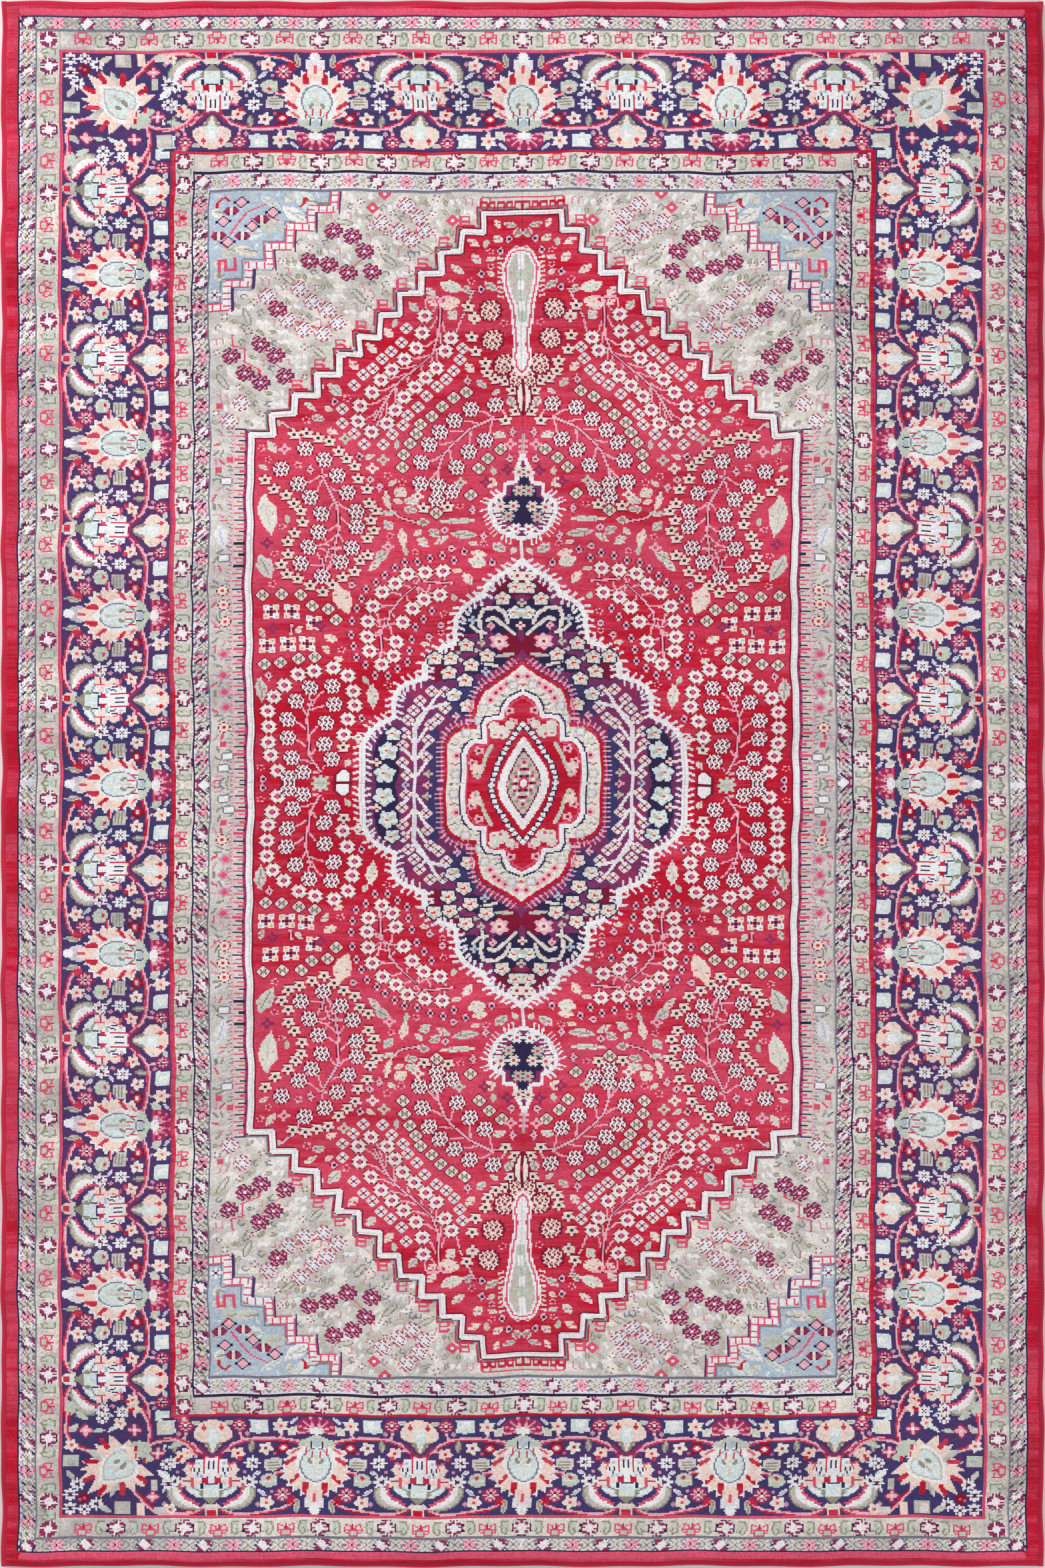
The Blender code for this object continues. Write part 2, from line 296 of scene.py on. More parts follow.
# ------------------------------------------------------------------ florets
def ring_flower(c, x, y, reach=5.1):
    """Scalloped ring round a red eye with a pair of dark knots."""
    c.star(x, y, reach + 0.7, 8, 0.1, "wine", 0.39)
    c.star(x, y, reach, 8, 0.24, "blush", 0.39)
    c.star(x, y, reach - 1.0, 8, 0.24, "white", 0.39)
    c.oval(x, y, 2.4, 1.6, "rose")
    c.dots([(x - 1.2, y), (x + 1.2, y + 0.2)], "ink", 0.5)


def small_ring(c, x, y, reach=3.9):
    """Small five-petalled flower with a dark eye."""
    c.star(x, y, reach + 0.6, 5, 0.2, "wine", 0.3)
    c.star(x, y, reach, 5, 0.34, "blush", 0.3)
    c.dots([(x, y)], "ink", 0.5)


def slashed(c, x0, y0, reach_x, reach_y, yarn, mark, bricks=False):
    """An oval crossed by short slanted strokes, three knots apart and three
    knots long. Bricks fills the rows between them the other way about."""
    def stroke(x, y):
        across, along = x - x0, y - y0
        slant, gap = (across + along + 0.5) % 3 < 1, (along + 2.5) % 4 < 1
        marked = slant ^ gap if bricks else slant & ~gap
        return marked & ((across / reach_x) ** 2 + (along / reach_y) ** 2 <= 1)

    c.oval(x0, y0, reach_x, reach_y, yarn)
    c.paint((x0 - reach_x, y0 - reach_y, x0 + reach_x, y0 + reach_y), stroke, mark)


def hatch_flower(c, x, y, reach=4.8):
    """Round pale flower crossed by dark strokes."""
    c.star(x, y, reach + 1.4, 10, 0.14, "wine")
    slashed(c, x, y, reach, reach + 0.7, "white", "wine", True)


def dotted_diamond(c, x, y):
    """Tiny diamond round a dark knot."""
    c.lozenge(x, y, 3.1, 4.1, "wine")
    c.lozenge(x, y, 2.5, 3.4, "pink")
    c.dots([(x, y)], "ink", 0.8)


def cream_diamond(c, x, y):
    """Four cream petals, notched at their tips, round a small dark cross."""
    c.lozenge(x, y, 5.7, 5.2, "wine")
    c.star(x, y, 4.6, 4, 0.36, "blush")
    c.star(x, y, 3.7, 4, 0.36, "cream")
    c.line([(x - 2.4, y), (x + 2.4, y)], 1.0, "taupe")
    c.dots(circle_points(x, y, 1.5, 4, 0.785), "wine", 0.5)


def cross_flower(c, x, y):
    """Four small square petals with dark knots between them."""
    c.lozenge(x, y, 4.9, 4.9, "wine")
    for step_x, step_y in ((2, 0), (-2, 0), (0, 2), (0, -2)):
        c.oval(x + step_x, y + step_y, 1.7, 1.6, "blush" if step_x else "lilac")
    c.dots(circle_points(x, y, 2.0, 4, 0.785), "ink", 0.5)
    c.dots([(x, y)], "plum", 0.5)


def rosette(c, x, y, reach=5.6):
    """Eight plum lobes round a white cross, with dark ticks between."""
    c.dots(circle_points(x, y, reach + 0.1, 8, 0.39), "ink", 0.7)
    c.dots(circle_points(x, y, reach - 1.6, 8), "plum", 1.25)
    c.dots(circle_points(x, y, reach - 0.6, 8), "plum", 0.8)
    c.oval(x, y, reach * 0.5, reach * 0.5, "white")
    c.line([(x - reach * 0.8, y + 1), (x + reach * 0.8, y - 1)], 1.3, "white")
    c.line([(x - 1, y - reach * 0.8), (x + 1, y + reach * 0.8)], 1.3, "white")


def spray_rosette(c, x, y, dark=True):
    """Rosette of the spandrels, plum with pink strokes or blush with plum
    ones, in a ring of ink or rose knots."""
    c.dots(circle_points(x, y, 5.6, 9), "ink" if dark else "rose", 0.55)
    if dark:
        c.star(x, y, 6.0, 6, 0.3, "plum")
        slashed(c, x, y, 4.6, 4.9, "plum", "pink")
        c.dots(circle_points(x, y, 3.4, 6, 0.5), "ink", 0.5)
    else:
        slashed(c, x, y, 4.7, 5.2, "lilac", "wine")
    c.dots([(x, y)], "white", 0.8)


def four_cluster(c, x, y):
    """Four pale petals set crosswise, with dark knots between."""
    for step_x, step_y, yarn in (
            (2.8, 2.8, "white"), (-2.8, -2.8, "white"), (-2.8, 2.8, "blush"), (2.8, -2.8, "blush")):
        c.oval(x + step_x, y + step_y, 2.5, 2.5, yarn)
        c.dots([(x + step_x * 1.1, y + step_y * 1.1)], "taupe", 0.5)
    c.dots([(x, y), (x + 2.4, y), (x - 2.4, y), (x, y + 2.4), (x, y - 2.4)], "ink", 0.5)


def petal_wheel(c, x, y):
    """Large flower of white petals parted by dark lines, round a pink eye."""
    c.star(x, y, 8.2, 12, 0.12, "wine")
    slashed(c, x, y, 6.4, 7.4, "blush", "wine", True)
    c.star(x, y, 3.0, 4, 0.4, "blush")
    c.dots([(x, y)], "plum", 0.8)


def blossom(c, x, y, reach=5.4, yarn="cream"):
    """Pale flower with an ink edge, and red knots round its eye."""
    c.star(x, y, reach + 1.1, 5, 0.2, "ink", 0.3)
    c.star(x, y, reach, 5, 0.24, yarn, 0.3)
    c.dots(circle_points(x, y, reach * 0.6, 5, 1.0), "taupe", 0.5)
    c.oval(x, y, 2.0, 1.8, "blush")
    c.dots([(x - 0.6, y), (x + 0.9, y + 0.7)], "crimson", 0.6)


def leaf(c, x, y, length, breadth, turn, yarn="beige", core="greige"):
    """Leaf with a notched tip and a shaded rib."""
    both = [(-1, 0), (-0.4, 0.8), (0.3, 1), (0.62, 0.5), (1, 0.3), (0.9, -0.2),
            (0.3, -0.9), (-0.4, -0.7)]
    outline = [(px * length, py * breadth) for px, py in both]
    c.shape(placed(outline, x, y, turn), yarn)
    c.line(placed([(-length * 0.6, 0), (length * 0.6, 0)], x, y, turn), 1.0, core)


def ringed_rosette(c, x, y, reach=4.6):
    """Pink petals in a plum halo, with a dark and pale eye."""
    c.star(x, y, reach + 1.3, 8, 0.1, "plum")
    c.star(x, y, reach, 8, 0.34, "pink")
    c.dots(circle_points(x, y, reach * 0.56, 8, 0.39), "crimson", 0.5)
    c.oval(x, y, 1.7, 1.7, "ink")
    c.oval(x, y, 0.9, 1.2, "white")


def star_flower(c, x, y, reach=5.0, lobes=5, yarn="ivory", eye="rose"):
    """Lobed pale flower with a small eye."""
    c.star(x, y, reach, lobes, 0.34, yarn, 0.5)
    c.oval(x, y, reach * 0.5, reach * 0.5, "blush")
    c.oval(x, y, 1.1, 1.1, eye)


def aster(c, x, y, reach=5.2):
    """White many-petalled flower with a plum cross."""
    c.star(x, y, reach, 8, 0.4, "white")
    c.dots(circle_points(x, y, reach * 0.62, 8, 0.39), "sky", 0.5)
    c.line([(x - 1.4, y - 1.2), (x + 1.4, y + 1.2)], 1.1, "plum")
    c.line([(x - 1.4, y + 1.2), (x + 1.4, y - 1.2)], 1.1, "ink")


def open_spots(c, bare, box, spacing, clear):
    """Places on a staggered grid in the box, one at a time, each with only
    bare yarns within clear knots of it when its turn comes."""
    bare = [YARN_INDEX[name] for name in bare]
    for row, y in enumerate(np.arange(box[1], box[3], spacing * 0.87)):
        for x in np.arange(box[0] + (row % 2) * spacing / 2, box[2], spacing):
            window = c.ink[max(int(y - clear), 0):int(y + clear) + 1,
                           max(int(x - clear), 0):int(x + clear) + 1]
            if window.size and np.isin(window, bare).all():
                yield x, y


def twigs(c, stem, flowers, reach, yarn):
    """Thin lines from each flower within reach of a stem to the stem's nearest
    point, set back a little down the stem."""
    spots = np.array(along_path(stem, 60))
    for x, y in flowers:
        gaps = np.hypot(spots[:, 0] - x, spots[:, 1] - y)
        near = int(gaps.argmin())
        if 2 < gaps[near] < reach:
            foot = spots[max(near - 9, 0)]
            bend = (x * 0.45 + foot[0] * 0.55, y * 0.7 + foot[1] * 0.3)
            c.line([tuple(foot), bend, (x, y)], 1.2, yarn)

# ------------------------------------------------------------------ borders
def placed(points, x0, y0, turn=0.0, flip=1):
    """Points of a motif turned, mirrored by flip, and moved to its place."""
    cos, sin = math.cos(turn), math.sin(turn)
    return [(x0 + flip * x * cos - y * sin, y0 + flip * x * sin + y * cos)
            for x, y in points]


def moved(points, step_x, step_y):
    """The same points, moved."""
    return [(x + step_x, y + step_y) for x, y in points]


def draw_minor_motif(c, kind, x, y):
    """One small motif of a minor guard: a plum flower, or a ring of cream or
    rose knots round a dark one."""
    if kind == 0:
        c.dots(circle_points(x, y, 4.5, 12), "ink", 0.5)
        c.oval(x, y, 3.9, 3.9, "white")
        c.line([(x + 0.4, y + 3.4), (x + 3, y + 3), (x + 3.4, y + 0.4)], 1.7, "plum")
        c.line([(x - 0.4, y - 3.4), (x - 3, y - 3), (x - 3.4, y - 0.4)], 1.7, "plum")
        c.line([(x - 3.4, y + 1.6), (x - 1.8, y + 3.6)], 1.0, "mauve")
        return
    petals, edge, eye = ("cream", "taupe", "grey") if kind == 1 else ("pink", "rose", "ink")
    c.lozenge(x, y, 4.4, 4.8, petals)
    c.dots(circle_points(x, y, 3.9, 8), edge, 0.6)
    c.dots(circle_points(x, y, 2.1, 4, 0.785), edge, 0.5)
    c.dots([(x, y)], eye, 0.6)


def draw_crab(c, x, y, turn):
    """Red-outlined box over two loops, hung between the guard rosettes."""
    box = placed([(-2.6, 1.2), (2.6, 1.2), (2.6, 5.4), (-2.6, 5.4)], x, y, turn)
    c.outline(box, 1.0, "rose", "sage")
    for flip in (-1, 1):
        loop = placed([(0.8, 0.6), (5.2, 2.2), (4.8, -2.6), (1.6, -1.4)], x, y, turn, flip)
        c.outline(loop, 1.0, "rose", "cream")
        c.line(placed([(2.8, 4.0), (4.6, 3.2)], x, y, turn, flip), 1.0, "rose")
    c.line(placed([(0, 0.5), (0, -3)], x, y, turn), 1.0, "crimson")


def draw_guard_leaf(c, x, y, turn, flip):
    """Hooked outline of a grey-green leaf, over a paler patch."""
    patch = [(-2.4, -4.6), (2.6, -4.4), (2.8, 2), (0, 5), (-2.4, 3)]
    c.shape(placed(patch, x, y, turn, flip), "sage")
    hook = [
        (-2.2, -4.4), (1.6, -4.2), (2.6, -0.6), (1.8, 3.4), (-0.6, 4.8), (-1.8, 2.6), (-0.6, 0.6)]
    c.line(placed(hook, x, y, turn, flip), 1.0, "taupe")
    c.dots(placed([(0.6, 1.6), (0.3, -1.8)], x, y, turn, flip), "cream", 0.6)


def draw_guard(c, centre, places, half_step, upright):
    """A guard: plum rosettes, crabs midway, and a pair of leaves by each."""
    turn = -math.pi / 2 if upright else 0.0
    for place in places:
        for at, mid in ((place, False), (place + half_step, True)):
            x, y = (centre, at) if upright else (at, centre)
            if mid:
                draw_crab(c, x, y, turn)
                continue
            for flip in (-1, 1):
                leaf_place = placed([(flip * 10.6, 0)], x, y, turn)[0]
                draw_guard_leaf(c, *leaf_place, turn, flip)
                far_place = placed([(flip * 6.9, 2.4)], x, y, turn)[0]
                c.dots([far_place], "taupe")
            rosette(c, x, y)


def draw_palmette(c):
    """The main border's palmette, on half a repeat: a pale bud, a wreath of
    peach flames with red hearts, a white ring, wings and a fan flower."""
    flames = [
        (0, 60), (5, 58), (5, 54), (8.4, 56), (8.6, 50.6), (13.4, 53), (13, 49.4), (17.4, 49.4),
        (15.6, 45.6), (21, 43.4), (17.6, 41), (20, 38.4), (17, 37.4), (20.4, 35.6), (17, 33.4),
        (19.4, 30.6), (16, 29.4), (18.6, 25.6), (13.4, 23.4), (10.6, 20.6), (6, 17.6), (0, 17)]
    c.line(flames[2:19], 1.4, "white")
    c.shape(flames, "blush")
    c.shape([(0, 50.4), (6, 46.6), (10.6, 42), (13, 35), (12, 26.4), (8, 20.8), (0, 19)], "white")
    c.oval(0, 34.6, 9.8, 12.2, "grey")
    c.oval(0, 34.6, 8.8, 11.2, "aqua")
    c.line([(0, 28), (0, 42)], 2.0, "cream")
    c.oval(3.8, 32, 1.2, 2.4, "taupe", 0.5)
    for column, row in ((2.6, 25.6), (6.8, 23.4)):
        c.line([(column, row), (column, row + 3.6)], 1.3, "crimson")
    c.shape([(3.8, 47.4), (5, 56), (8, 53.4), (8.4, 49.4), (7.4, 47)], "crimson")
    c.shape([(10, 41), (10, 44), (15.4, 48.6), (15.8, 45.4), (13, 44.4), (12.4, 41.4)], "crimson")
    c.line([(13, 30), (18, 33.4)], 2.6, "crimson")
    c.line([(11, 23.4), (15, 26.4)], 1.4, "rose")
    c.box(0, 50, 3.6, 61, "blush")
    c.line([(0.4, 56), (0.4, 62)], 1.2, "rose")
    c.shape([(0, 66), (5.6, 65), (6.4, 58), (4.4, 57), (3.4, 60), (0, 61)], "lilac")
    c.oval(0, 66.6, 3.6, 3.6, "white")
    c.shape([(0, 23), (3, 21), (6, 23), (12, 21), (10, 17.6), (5, 15.6), (0, 13)], "sage")
    c.box(0, 17, 2, 22, "sky")
    c.line([(3.2, 18), (3.6, 22.4)], 1.0, "ink")
    c.shape([(0, 14), (4, 13), (11.6, 13.6), (11.6, 5), (8, 2), (0, 0.6)], "plum")
    for end_x, end_y in ((11, 12), (11.4, 7.6), (7.6, 3.6), (3, 1.6)):
        c.line([(1, 11), (end_x, end_y)], 1.7, "pink")
        c.line([(end_x * 0.6, 11 + (end_y - 11) * 0.6), (end_x, end_y)], 1.0, "rose")
    c.oval(0, 11, 4.4, 2.6, "white")


def draw_lotus(c):
    """The main border's lotus, on the far half of a repeat: bud and roof,
    pale feathered wings with peach tips, a stem and a hanging fan flower.
    Its points are given by how far they lie back from its axis."""
    axis = 65

    def shape(yarn, *points):
        c.shape([(axis - x, y) for x, y in points], yarn)

    def line(width, yarn, *points):
        c.line([(axis - x, y) for x, y in points], width, yarn)

    def box(yarn, far_x, low_y, near_x, high_y):
        c.box(axis - far_x, low_y, axis - near_x, high_y, yarn)

    shape("aqua", (4, 57.4), (9, 57), (15, 53), (16.6, 49.6), (12, 47), (4, 46))
    line(1.2, "white", (7, 55.4), (15, 51))
    line(1.0, "grey", (7, 52.4), (13, 49.6))
    line(1.4, "white", (6, 50), (12, 47.4))
    shape("blush", (6, 47), (18.6, 50), (19, 43.4), (15, 42), (6, 42))
    line(1.0, "plum", (12.4, 45.8), (18, 45.8))
    line(1.2, "rose", (12, 49.6), (12, 43))
    shape("blush", (4, 42), (14, 43), (17.6, 37.6), (14.6, 32.4), (9, 34))
    line(1.6, "rose", (11.4, 34), (15, 32.4))
    shape("white", (3, 46), (10, 44), (12, 38), (9.6, 30), (4, 30))
    for x, y in ((8.6, 40), (10.2, 36), (7.4, 36.6)):
        line(1.1, "ink", (x, y), (x + 0.6, y + 2.6))
    c.dots([(axis - x, y) for x, y in ((6.4, 42.4), (9, 42), (8.4, 33))], "sky", 0.9)
    line(1.1, "rose", (10.4, 33), (12.4, 37))
    shape("taupe", (0, 63), (7.6, 54.6), (6, 51.4), (0, 56))
    box("aqua", 4.8, 48, 0, 57)
    box("ink", 6.6, 47.4, 5, 51)
    box("crimson", 5.6, 43, 2.2, 46.6)
    box("white", 2.4, 28, 0, 47)
    box("white", 4, 29, 0, 42)
    box("ink", 2.3, 31, 1.0, 36.6)
    line(1.4, "crimson", (4.8, 28.6), (4.8, 39))
    shape("cream", (0, 62.4), (5.4, 62), (4.2, 66), (3.6, 70.4), (0, 70.6))
    box("crimson", 2.6, 66, 0, 70)
    line(2.2, "plum", (0, 28), (4, 26.6), (8.6, 21.5))
    shape("blush", (0, 26), (2.6, 24), (6, 18), (9, 17), (11.8, 14.4), (11.6, 10), (9, 6.4),
          (5, 3), (0, 1.6))
    shape("taupe", (0, 26), (2.6, 24), (5.8, 18), (3, 18))
    shape("aqua", (0, 22), (3.6, 17), (4.4, 12), (3, 8), (0, 8))
    box("white", 1.8, 9, 0, 15)
    box("crimson", 7, 6.6, 3.6, 8.6)
    box("crimson", 5.8, 5.4, 4.6, 10)
    line(1.1, "beige", (7.6, 14), (10.6, 12))


def draw_border_repeat(c):
    """Half a repeat of the main border. The way along runs from 0, the
    palmette's axis, to 65, the lotus's; the other way runs from 0 at the
    inner edge to 72. Vines, flowers and leaves fill the ground between."""
    upper = [(12, 59.5), (15, 62.5), (20, 65), (26, 66.2), (34, 67.6), (42, 69),
             (50, 69), (57, 66.4), (61.5, 62)]
    lower = [(10, 18.5), (17, 16.8), (24, 15.4), (31, 14.8), (38, 15), (45, 16),
             (52, 19), (57, 23), (61, 28), (64, 31)]
    middle = [(14, 39), (19, 38.6), (25, 40)]
    for vine in (upper, lower, middle):
        c.line(moved(vine, 0.3, 0.9), 2.4, "crimson")
        c.line(vine, 1.5, "pink")
    c.line([(22, 13), (24, 15.6)], 1.6, "pink")
    c.line([(48, 11), (47, 16)], 1.6, "pink")
    c.line([(49, 26), (53, 24.6), (57, 24)], 1.8, "pink")
    leaf(c, 11, 64, 5.6, 2.2, 1.4, "greige", "taupe")
    c.oval(14.4, 60, 3.4, 1.8, "crimson", 0.9)
    ringed_rosette(c, 20, 55.6)
    star_flower(c, 30, 60.6, 5.4, 5)
    leaf(c, 33, 53.6, 4.4, 1.5, -0.7, "lilac", "sky")
    c.shape([(24, 42), (29, 39.6), (34, 42), (34.8, 47), (30, 50.4), (24, 48.6)], "sage")
    c.line([(25.4, 45), (33, 46)], 1.2, "cream")
    c.oval(29.4, 43.4, 1.6, 1.2, "crimson")
    c.shape([(21, 30), (26, 29), (31.8, 30.4), (31.4, 37.6), (26, 38.6), (21, 36)], "beige")
    for row in (32, 34.4, 36.6):
        c.line([(22, row), (30, row + 0.4)], 0.9, "taupe")
    c.star(21, 22.4, 4.9, 6, 0.3, "wine")
    c.oval(21, 22.4, 3.3, 2.4, "crimson")
    c.oval(21, 22.4, 1.6, 1.3, "lilac")
    star_flower(c, 32, 22.4, 4.8, 5, "ivory", "plum")
    leaf(c, 41, 20.4, 4.8, 2.3, 1.5, "taupe", "greige")
    leaf(c, 15, 10.6, 4.2, 3.2, 0.9, "cream", "sage")
    star_flower(c, 22.4, 7, 5.6, 6, "ivory", "rose")
    leaf(c, 13.6, 3.6, 3.6, 1.4, 0.7, "lilac", "sky")
    c.shape([(30.2, 2), (41.6, 2), (41, 6), (42.4, 10.6), (36, 11.8), (30, 10.4)], "aqua")
    c.box(33.4, 2.6, 37.8, 8, "white")
    ringed_rosette(c, 48, 6.4, 3.8)
    leaf(c, 54.6, 4.4, 3.4, 1.9, 0.2, "beige", "greige")
    aster(c, 41.4, 46, 5.4)
    aster(c, 39.4, 32.4, 5.2)
    leaf(c, 36.4, 39.6, 3.4, 1.6, 0.6, "white", "sky")
    back = [(38, 50), (37.6, 56), (40, 61), (45, 64.6), (52, 66), (58, 65.4),
            (52, 60), (46, 55), (42, 50)]
    c.shape(back, "greige")
    c.line(back[:6], 1.2, "taupe")
    crescent = [
        (41, 49), (40.6, 55), (44, 60), (50, 63.6), (58, 65), (53, 58.6), (48, 56), (46, 51.6)]
    c.shape(crescent, "white")
    for x, y in along_path([(43.6, 50), (44.6, 55), (48.6, 59.4), (55, 63)], 8):
        c.oval(x + 1.3, y - 1.3, 1.4, 1.2, "rose")
    c.oval(49.6, 49, 1.9, 2.0, "plum")
    c.oval(30, 57, 1, 1, "plum")
    star_flower(c, 49, 26, 4.8, 5, "blush", "crimson")
    c.oval(47.4, 29.4, 1.7, 1.7, "crimson")
    c.oval(26, 25.6, 1.2, 1.2, "rose")
    for x, y in ((35.6, 62), (15, 34), (44, 39), (27, 53), (12, 42), (55, 14), (43.6, 12)):
        c.lozenge(x, y, 1.8, 1.8, "mauve")
    draw_palmette(c)
    draw_lotus(c)


def draw_border_corner(c):
    """The palmette turned into the corner, its flames spread round a white
    heart, and the sprays beside it."""
    vines = (
        [(208, 516), (219, 517), (228, 517.6), (235, 512), (239, 507), (243.6, 502)],
        [(205, 476), (211, 468), (219, 464), (230, 465), (234, 467)],
        [(236, 466), (234.6, 458), (236, 450), (240, 442)],
        [(286, 444), (287.2, 459), (284.6, 465), (279, 470), (273, 472)])
    for vine in vines:
        c.line(moved(vine, -0.9, -0.6), 2.4, "crimson")
        c.line(vine, 1.5, "pink")
    x0, y0 = 251, 481
    teeth = (
        (231, 489), (237, 497.6), (243.4, 502), (251.6, 504), (258.6, 505), (265.4, 505.4),
        (274, 503.6), (279, 493), (277.4, 485.6), (276.4, 479.6), (274, 471.4), (269, 467),
        (259.6, 460.6), (247, 464))
    for place, (x, y) in enumerate(teeth):
        far = math.hypot(x - x0, y - y0)
        side_x, side_y = (y0 - y) / far * 4.2, (x - x0) / far * 4.2
        near_x, near_y = x0 + (x - x0) * 0.62, y0 + (y - y0) * 0.62
        c.shape([(x0 - side_x, y0 - side_y), (near_x - side_x, near_y - side_y), (x, y),
                 (near_x + side_x, near_y + side_y), (x0 + side_x, y0 + side_y)],
                "beige" if place in (4, 10) else "blush")
    for x, y in ((239, 491), (251, 499), (264, 500), (272, 491.6), (270, 479.6), (262.6, 467)):
        far = math.hypot(x - x0, y - y0)
        out_x, out_y = (x - x0) / far * 3, (y - y0) / far * 3
        c.line([(x - out_x, y - out_y), (x + out_x, y + out_y)], 3.2, "crimson")
    heart = [(240, 482), (241.6, 489), (247, 492.6), (256, 494.6), (265.6, 494.6),
             (265.4, 485), (262.6, 476.6), (257, 471), (250, 467.6), (243.6, 474)]
    c.shape(heart, "white")
    inner = [(253 + (x - 253) * 0.78, 483 + (y - 483) * 0.78) for x, y in heart]
    c.outline(inner, 1.0, "greige", "aqua")
    c.line([(246, 478), (256, 487)], 2.0, "cream")
    c.oval(250, 482.6, 2.6, 1.4, "taupe", 0.9)
    c.oval(254, 479.6, 2.6, 1.2, "taupe", 0.2)
    c.shape([(231, 478), (236, 480), (240, 476), (246, 471), (246, 466), (241, 464),
             (234, 467)], "sage")
    c.shape([(240, 478), (247, 478), (249, 471), (244, 468)], "blush")
    for x, y in ((237, 478), (242.6, 475), (243, 469.6)):
        c.line([(x, y - 1.4), (x, y + 1.6)], 1.3, "crimson")
    for x, y in ((222, 495.6), (223, 481), (264, 449), (275, 514), (284, 513.6), (284, 503.6),
                 (279.6, 496), (267.6, 510)):
        aster(c, x, y, 4.8)
    for x, y in ((253, 452.6), (221, 513.6), (283.4, 468)):
        star_flower(c, x, y, 4.6, 5, "ivory", "rose")
    for x, y in ((213.6, 476), (244.6, 441.6)):
        star_flower(c, x, y, 5.2, 5, "blush", "crimson")
        c.box(x + 0.6, y + 0.6, x + 3, y + 3, "crimson")
    for x, y in ((232, 504.6), (274.4, 457.6), (229, 473), (244, 457)):
        c.star(x, y, 5.2, 4, 0.3, "plum")
        c.star(x, y, 4.0, 4, 0.5, "pink")
        c.dots([(x, y)], "white", 0.8)
    for low_x, low_y, high_x, high_y, yarn in (
            (220, 451, 230, 459.6, "cream"), (228.6, 491.6, 233, 500, "beige"),
            (223, 512, 231, 516.6, "cream"), (237.4, 509, 241.6, 517.6, "blush"),
            (245.6, 507.6, 255.6, 517, "greige"), (250, 509.6, 254.6, 516.6, "cream"),
            (278, 474.6, 287.6, 483, "sage"), (280, 478, 284.6, 482.6, "beige")):
        c.box(low_x, low_y, high_x, high_y, yarn)
    for x, y, length, breadth, turn, yarn in (
            (224.6, 489, 6, 2.2, -0.8, "white"), (261.6, 513.4, 5, 2.4, -0.6, "cream"),
            (283, 490, 4.8, 2.2, -1.0, "cream"), (282, 456, 4.6, 2.4, 0.7, "cream"),
            (257, 456, 4.6, 1.6, 0.6, "aqua"), (218, 467.6, 5.4, 2.0, 0.3, "sage"),
            (228.6, 448.6, 3.4, 2, -0.6, "aqua"), (266, 457.6, 4, 1.6, 0.1, "sage"),
            (283.6, 441, 3.6, 5.6, 0.2, "sage"), (277, 447, 6, 2.4, -0.6, "sage")):
        leaf(c, x, y, length, breadth, turn, yarn, yarn)
    c.star(275.4, 506, 4.6, 4, 0.4, "wine")
    c.dots([(275.4, 506), (277.6, 507.4)], "rose", 1.0)

# -------------------------------------------------------------------- field
STAIR = [
    (0, 404.5), (24.5, 404.5), (24.5, 391), (37.5, 391), (37.5, 377), (50, 376.4), (50, 362),
    (63, 362), (63, 348), (76.5, 347.5), (76.5, 333), (88.5, 333), (88.5, 317), (101.5, 317),
    (101.5, 304), (115, 303), (115, 289), (129, 289), (129, 274), (143, 274), (143, 261),
    (157, 261), (157, 247), (171, 247), (171, 0)]
CORNER_STAIR = [
    (118, 421), (118, 407), (132, 407), (132, 394), (145, 394), (145, 380), (158, 380),
    (158, 366.5), (171.5, 366.5), (171.5, 353), (184.5, 353), (184.5, 337), (197, 337)]
MEDALLION = [
    (101, 0), (101, 28), (96, 38), (90, 43), (80.5, 48), (80, 62), (77, 68), (72, 72), (61, 76),
    (61, 85), (59, 90), (55, 94), (50, 98), (42, 100), (41, 110), (40, 118), (36, 125), (30, 130),
    (24, 133), (22, 140), (15, 147), (5, 153), (0, 158)]
INNER_RING = [
    (49, 0), (49, 28), (47, 33), (43, 37), (38, 39.5), (30, 40.5), (30, 48), (29, 55), (27, 62),
    (24, 67), (15, 74), (8, 79), (0, 86)]
CARTOUCHE = [
    (37.5, 0), (37.5, 20), (36, 25), (32, 30), (24.5, 30.5), (24.5, 42), (22, 46.5), (12.5, 48),
    (11.5, 54), (8, 60), (3, 63), (0, 64.5)]
MANDORLA = [(16, 0), (14.6, 8), (11.6, 15), (7, 23), (2.6, 30), (0, 34)]
PENDANT = [
    (0, 173), (6, 175), (14, 179), (18, 186), (21, 194), (21, 198), (17, 203), (12, 205), (12, 212),
    (5, 213), (4, 222), (0, 233)]


def beaded(c, points, spacing, size, yarn, edge):
    """Ovals spaced along a path, each with an edge of another yarn."""
    reach = sum(math.dist(a, b) for a, b in zip(points, points[1:]))
    for x, y in along_path(points, max(int(reach / spacing), 2)):
        c.oval(x, y, size + 0.7, size + 0.7, edge)
        c.oval(x, y, size, size, yarn)


def combed(c, points, spacing, length, yarn, width=1.1, lean=0.0):
    """Short strokes across a path, reaching the same way on both sides. Lean
    carries their tips along the path, as a share of their length."""
    spots = along_path(points, 4000)
    reach = sum(math.dist(a, b) for a, b in zip(points, points[1:]))
    step = max(int(4000 * spacing / reach), 1)
    for (ax, ay), (bx, by) in list(zip(spots, spots[1:]))[::step]:
        size = math.hypot(bx - ax, by - ay) or 1
        way_x, way_y = (bx - ax) / size * length, (by - ay) / size * length
        for flip in (-1, 1):
            tip = (ax + flip * way_y + lean * way_x, ay - flip * way_x + lean * way_y)
            c.line([(ax, ay), tip], width, yarn)


